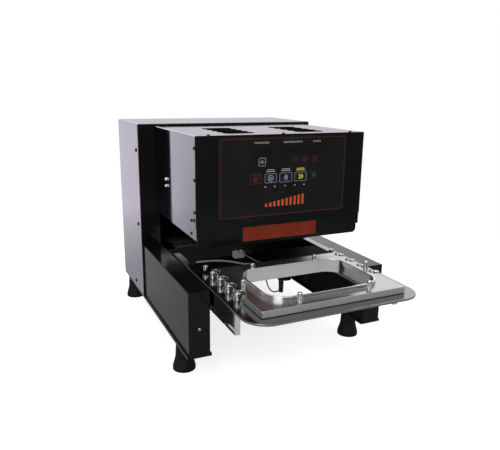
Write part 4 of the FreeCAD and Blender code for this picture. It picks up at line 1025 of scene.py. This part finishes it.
FRAME_INSET = 1.4
FRAME_CORNER = 1.2
FRAME_LINE = 0.42
FIGURE_LINE = 0.8
BOLD_LINE = 0.9
POWER_DROP = 0.4
POWER_RADIUS = 3.6
POWER_ARC = (125.0, 415.0)
POWER_STEM = ((0.0, 0.2), (0.0, 4.4))
CYCLE_RADIUS = 5.2
CYCLE_END = 354.0
CYCLE_STEPS = 40
CYCLE_WEDGE = ((-1.7, -2.6), (-1.7, 2.6), (3.0, 0.0))
HAND_SHIFT = (0.6, -0.4)
HAND_SIZE = 1.35
HAND_LINE = 0.62
FINGERS = ((-1.5, 3.0), (-0.5, 3.8), (0.5, 3.6), (1.5, 2.7))
FINGER_FOOT = -0.6
PALM = ((-1.8, -0.5), (-1.8, -2.0), (-0.9, -3.2), (0.9, -3.2), (1.8, -2.0), (1.8, -0.5))
THUMB = ((-1.8, -1.6), (-3.2, 0.4))
CHEVRON_SHIFTS = (-3.6, 1.0)
CHEVRON = ((0.0, 4.0), (3.4, 0.0), (0.0, -4.0))
CHEVRON_LINE = 1.7
COUNTER_INSET = 1.2
COUNTER_CORNER = 2.6
LENS = ((-3.6, 0.0), (0.0, 2.5), (3.6, 0.0), (0.0, -2.5))
PUPIL_RADIUS = 0.9
START_WEDGE = ((-2.0, -3.2), (-2.0, 3.2), (3.2, 0.0))
START_LINE = 0.7
SIGN_BAR = ((-2.4, 0.0), (2.4, 0.0))
SIGN_UPRIGHT = ((0.0, -2.4), (0.0, 2.4))
SET_SIDE = 5.0
SET_CORNER = 1.0


def hand(x, z, size):
    """Strokes of a plain open hand: four fingers, a palm and a thumb."""
    width = HAND_LINE * size
    lines = []
    for finger, tip in FINGERS:
        lines += stroke(placed(x, z, ((finger, FINGER_FOOT), (finger, tip)), size), width)
    lines += stroke(placed(x, z, PALM, size), width, closed=True)
    lines += stroke(placed(x, z, THUMB, size), width)
    return lines


def key_figures(name):
    """What is printed on one key: each ink with its figure."""
    x, z, width, height = key_place(name)
    border = rounded(x, z, width - FRAME_INSET, height - FRAME_INSET, FRAME_CORNER)
    frame_line = stroke(border, FRAME_LINE, closed=True)
    if name == "power":
        ring = stroke(arc(x, z - POWER_DROP, POWER_RADIUS, *POWER_ARC), BOLD_LINE)
        stem = stroke(placed(x, z, POWER_STEM), BOLD_LINE)
        return [("ink_red", frame_line), ("ink_red", ring), ("ink_red", stem)]
    if name == "automatic":
        ring = stroke(arc(x, z, CYCLE_RADIUS, 0.0, CYCLE_END, CYCLE_STEPS), FIGURE_LINE, closed=True)
        wedge = stroke(placed(x, z, CYCLE_WEDGE), FIGURE_LINE, closed=True)
        return [("ink_light", frame_line), ("ink_light", ring), ("ink_light", wedge)]
    if name == "manual":
        palm = hand(x + HAND_SHIFT[0], z + HAND_SHIFT[1], HAND_SIZE)
        return [("ink_light", frame_line), ("ink_light", palm)]
    if name == "double":
        figures = [("ink_light", frame_line)]
        for shift in CHEVRON_SHIFTS:
            figures.append(("ink_yellow", stroke(placed(x + shift, z, CHEVRON), CHEVRON_LINE)))
        return figures
    if name == "counter":
        border = rounded(x, z, width - COUNTER_INSET, height - COUNTER_INSET, COUNTER_CORNER)
        box = stroke(border, FIGURE_LINE, closed=True)
        lens = stroke(placed(x, z, LENS), FIGURE_LINE, closed=True)
        return [("ink_grey", box), ("ink_grey", lens), ("ink_grey", dot(x, z, PUPIL_RADIUS))]
    if name == "start":
        return [("ink_dim", stroke(placed(x, z, START_WEDGE), START_LINE, closed=True))]
    bar = stroke(placed(x, z, SIGN_BAR), BOLD_LINE)
    upright = stroke(placed(x, z, SIGN_UPRIGHT), BOLD_LINE)
    square = stroke(rounded(x, z, SET_SIDE, SET_SIDE, SET_CORNER), FIGURE_LINE, closed=True)
    figures = {"minus": [bar], "plus": [bar, upright], "set": [square]}
    return [("ink_dark_red", frame_line)] + [("ink_dark_red", figure) for figure in figures[name]]


# Figures on the overlay and the skirt. A box is its middle, width, height and corner

KEY_NAMES = ("counter", "minus", "set", "plus", "power", "automatic", "manual", "double", "start")
BORDER = (1.2, 351.7, 247.0, 134.5, 5.0)
BORDER_LINE = 0.9
CAPTIONS = ((-46.0, 30.0), (15.0, 40.0), (64.0, 19.0))
CAPTION_HEIGHT = 412.0
CAPTION_PITCH = 2.4
CAPTION_TICK = 1.5
CAPTION_LINE = 1.1
HINTS = (("automatic", "ink_light"), ("manual", "ink_light"), ("double", "ink_yellow"))
HINT_RULES = ((6.2, 0.62), (3.2, 0.74))
HINT_LINE = 1.1
HINT_CORNER = 0.5
LAMP_MARKS = (-38.0, -19.5, 1.5, 21.0, 40.0)
LAMP_HEIGHT = 335.0
LAMP_RADIUS = 1.3
SCALE_LEFT = -38.0
SCALE_LOW = 299.0
SCALE_PITCH = 8.2
SCALE_BARS = 10
SCALE_BAR = 4.6
SCALE_SHORTEST = 6.0
SCALE_STEP = 1.5
SCALE_CORNER = 1.2
LABEL = (-3.75, 251.8, 149.5, 25.6, 1.0)


def print_shape(figures, face_y, finishes):
    """A bmesh of printed figures with one material per ink."""
    shape = bmesh.new()
    inks = []
    for ink, quads in figures:
        if ink not in inks:
            inks.append(ink)
        layer = bmesh.new()
        add_print(layer, face_y, quads, inks.index(ink))
        mesh = bpy.data.meshes.new("layer")
        layer.to_mesh(mesh)
        layer.free()
        shape.from_mesh(mesh)
        bpy.data.meshes.remove(mesh)
    return shape, [finishes[ink] for ink in inks]


def make_prints(finishes):
    """Key symbols on the keys, rules, dots and a level scale on the overlay, and the skirt's bare plate."""
    for name in KEY_NAMES:
        shape, inks = print_shape(key_figures(name), KEY_FACE, finishes)
        add_piece("print_" + name, shape, "key_" + name, inks)
    figures = [("ink_dark_red", stroke(rounded(*BORDER), BORDER_LINE, closed=True))]
    for x, length in CAPTIONS:
        ticks = int(length / CAPTION_PITCH)
        for tick in range(ticks):
            along = x + (tick - (ticks - 1) / 2) * CAPTION_PITCH
            ends = ((0.0, -CAPTION_TICK), (0.0, CAPTION_TICK))
            figures.append(("ink_grey", stroke(placed(along, CAPTION_HEIGHT, ends), CAPTION_LINE)))
    for key, ink in HINTS:
        x, z, width, height = key_place(key)
        for rise, share in HINT_RULES:
            rule = rounded(x, z + height / 2 + rise, share * width, HINT_LINE, HINT_CORNER)
            figures.append((ink, filled(rule)))
    for x in LAMP_MARKS:
        figures.append(("ink_light", dot(x, LAMP_HEIGHT, LAMP_RADIUS)))
    for number in range(SCALE_BARS):
        tall = SCALE_SHORTEST + SCALE_STEP * number
        x = SCALE_LEFT + SCALE_PITCH * number + SCALE_BAR / 2
        bar = rounded(x, SCALE_LOW + tall / 2, SCALE_BAR, tall, SCALE_CORNER)
        figures.append(("ink_orange", filled(bar)))
    shape, inks = print_shape(figures, OVERLAY_FACE, finishes)
    add_piece("overlay_print", shape, "frame", inks)

    label = bmesh.new()
    add_print(label, SKIRT_FACE, filled(rounded(*LABEL)), 0, LABEL_RISE)
    add_piece("skirt_label", label, "frame", (finishes["label_rust"],))


# The whole scene

bpy.context.scene.view_settings.view_transform = "Standard"
make_camera()
FINISHES = make_finishes()
make_leads(FINISHES)
make_world()
make_floor()
make_lamps()
finish_nodes(FINISHES)
make_screws(FINISHES)
make_grilles(FINISHES)
make_saddle(FINISHES)
make_prints(FINISHES)
